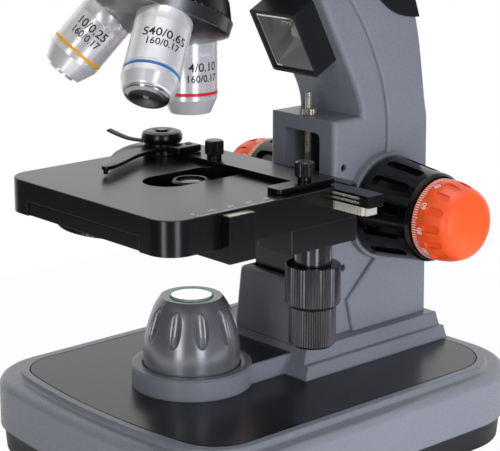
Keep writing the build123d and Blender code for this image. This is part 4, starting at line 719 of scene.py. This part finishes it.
# Eyepiece: its power on the flange, and a bright trim ring where the tube leaves the head.
eyeSetup = {"originZ": 273.0, "angle": 45.0, "flangeAt": 85.0, "flange": 15.6, "turn": 55, "cap": 3.0, "wide": 7.0,
    "ringAt": 38.0, "tube": 14.0, "ringWall": 1.4, "ringHigh": 1.8, "ringEdge": 0.4}
slope = math.radians(eyeSetup["angle"])
eyeAlong = Vector((0, -math.cos(slope), math.sin(slope)))
eyeFrame = Matrix(((1, 0, 0), tuple(eyeAlong.cross(Vector((1, 0, 0)))), tuple(eyeAlong))).transposed().to_4x4()
eyeFrame.translation = onAxis(0, 0, eyeSetup["originZ"])
power = writeWords("10x", eyeSetup["cap"], eyeSetup["wide"])
power = wrapWords(power, eyeFrame, eyeSetup["flange"], eyeSetup["turn"], eyeSetup["flangeAt"], 1)
finishPiece(power, "eyepiece_power", materials["printedInkWhite"], "eyepiece")
trim = roundRing(eyeSetup["tube"], eyeSetup["tube"] + eyeSetup["ringWall"], eyeSetup["ringHigh"], eyeSetup["ringEdge"])
setIn(trim, alongAxis(eyeFrame, eyeSetup["ringAt"]))
finishPiece(trim, "eye_tube_trim", materials["drawnSteel"], "head")
print("eyepiece dressed")

# The photograph's camera, solved from the object's own edges and circles.
cameraSetup = {"place": (0.550617, -0.489451, 0.302823), "azimuth": 48.541, "pitch": 13.548, "lens": 120.25,
    "sensor": 36, "shiftX": 0.0345, "shiftY": -0.0721, "clip": (0.02, 50)}
eye = bpy.data.cameras.new("photoCamera")
eye.sensor_width = cameraSetup["sensor"]
eye.lens = cameraSetup["lens"]
eye.shift_x, eye.shift_y = cameraSetup["shiftX"], cameraSetup["shiftY"]
eye.clip_start, eye.clip_end = cameraSetup["clip"]
eyeObject = bpy.data.objects.new("photoCamera", eye)
eyeObject.location = cameraSetup["place"]
eyeObject.rotation_euler = (math.radians(90 - cameraSetup["pitch"]), 0, math.radians(cameraSetup["azimuth"]))
bpy.context.scene.collection.objects.link(eyeObject)
bpy.context.scene.camera = eyeObject

# Pale paper floor: near white to the camera, with a faint shadow; reflections see the lit paper.
floorSetup = {"size": 0.62, "paper": "#f4f4f4", "roughness": 0.9, "glow": 0.97}
deselectAll()
bpy.ops.mesh.primitive_plane_add(size=floorSetup["size"])
floor = bpy.context.object
floor.name = "floor"
paper = bpy.data.materials.new("palePaper")
paper.use_nodes = True
paperTree = paper.node_tree
paperShader = paperTree.nodes["Principled BSDF"]
paperShader.inputs["Base Color"].default_value = hexToLinear(floorSetup["paper"])
paperShader.inputs["Roughness"].default_value = floorSetup["roughness"]
paperPath = addNode(paperTree, "ShaderNodeLightPath")
paperGlow = addNode(paperTree, "ShaderNodeEmission", {"Color": (1, 1, 1, 1), "Strength": 1.0})
share = addNode(paperTree, "ShaderNodeMath", {1: floorSetup["glow"]}, {0: paperPath.outputs["Is Camera Ray"]},
    operation="MULTIPLY")
paperMix = addNode(paperTree, "ShaderNodeMixShader",
    links={0: share.outputs[0], 1: paperShader.outputs[0], 2: paperGlow.outputs[0]})
paperTree.links.new(paperMix.outputs[0], paperTree.nodes["Material Output"].inputs["Surface"])
floor.data.materials.append(paper)

# Studio as reflections see it: a white wall behind, a pale ceiling and table, and a dim room on the camera's side.
studioSetup = {"ambient": 0.4, "wallSide": (-0.72, 0.66, 0.2), "wallSpan": (0.25, 0.75), "dim": 0.06,
    "ceiling": 0.85, "ceilingSpan": (0.45, 0.85), "table": 0.8, "tableSpan": (-0.4, -0.7)}
world = bpy.data.worlds.new("studio")
bpy.context.scene.world = world
world.use_nodes = True
worldTree = world.node_tree
sky = worldTree.nodes["Background"]
sky.inputs["Color"].default_value = (1, 1, 1, 1)
worldPath = addNode(worldTree, "ShaderNodeLightPath")
outlook = addNode(worldTree, "ShaderNodeTexCoord").outputs["Generated"]
facing = addNode(worldTree, "ShaderNodeVectorMath", {1: Vector(studioSetup["wallSide"]).normalized()}, {0: outlook},
    operation="DOT_PRODUCT")
height = addNode(worldTree, "ShaderNodeSeparateXYZ", links={"Vector": outlook})


def fadeIn(span, least, most, source):
    limits = {"From Min": span[0], "From Max": span[1], "To Min": least, "To Max": most}
    return addNode(worldTree, "ShaderNodeMapRange", limits, {"Value": source}).outputs["Result"]


def brighter(first, second):
    return addNode(worldTree, "ShaderNodeMath", links={0: first, 1: second}, operation="MAXIMUM").outputs[0]


wall = fadeIn(studioSetup["wallSpan"], studioSetup["dim"], 1.0, facing.outputs["Value"])
ceiling = fadeIn(studioSetup["ceilingSpan"], 0.0, studioSetup["ceiling"], height.outputs["Z"])
table = fadeIn(studioSetup["tableSpan"], 0.0, studioSetup["table"], height.outputs["Z"])
room = brighter(brighter(wall, ceiling), table)
shiny = brighter(worldPath.outputs["Is Glossy Ray"], worldPath.outputs["Is Transmission Ray"])
indoors = addNode(worldTree, "ShaderNodeMix", {"A": studioSetup["ambient"]}, {"Factor": shiny, "B": room})
level = addNode(worldTree, "ShaderNodeMix", {"B": 1.0},
    {"Factor": worldPath.outputs["Is Camera Ray"], "A": indoors.outputs[0]})
worldTree.links.new(level.outputs[0], sky.inputs["Strength"])
# two tall softboxes, one overhead, and a small low one that lifts the shade and shows in no reflection
lamps = {
    "rightSoftbox": {"place": (0.86, -0.3, 0.1), "size": (0.24, 0.95), "watts": 2.7, "tint": "#f3f4ff",
        "aim": (0, 0, 0.1)},
    "lowSoftbox": {"place": (0.42, 0.1, 0.06), "size": (0.2, 0.08), "watts": 0.85, "tint": "#f3f3ff",
        "aim": (0.04, 0.08, 0.06), "diffuseOnly": True},
    "frontSoftbox": {"place": (0.31, -0.86, 0.1), "size": (0.2, 0.95), "watts": 2.3, "tint": "#fffdf8",
        "aim": (0, 0, 0.1)},
    "topSoftbox": {"place": (-0.1, 0.1, 1.4), "size": (0.9, 0.9), "watts": 6, "tint": "#ffffff", "aim": (0, 0, 0)},
}
for name, lamp in lamps.items():
    light = bpy.data.lights.new(name, "AREA")
    light.shape = "RECTANGLE"
    light.size, light.size_y = lamp["size"]
    light.energy = lamp["watts"]
    light.color = hexToLinear(lamp["tint"])[:3]
    lightObject = bpy.data.objects.new(name, light)
    lightObject.visible_glossy = "diffuseOnly" not in lamp
    lightObject.location = lamp["place"]
    lightObject.rotation_mode = "QUATERNION"
    lightObject.rotation_quaternion = (Vector(lamp["aim"]) - Vector(lamp["place"])).to_track_quat("-Z", "Y")
    bpy.context.scene.collection.objects.link(lightObject)
print("studio set:", len(lamps), "softboxes")

bpy.context.scene.view_settings.view_transform = "Standard"
bpy.context.view_layer.update()
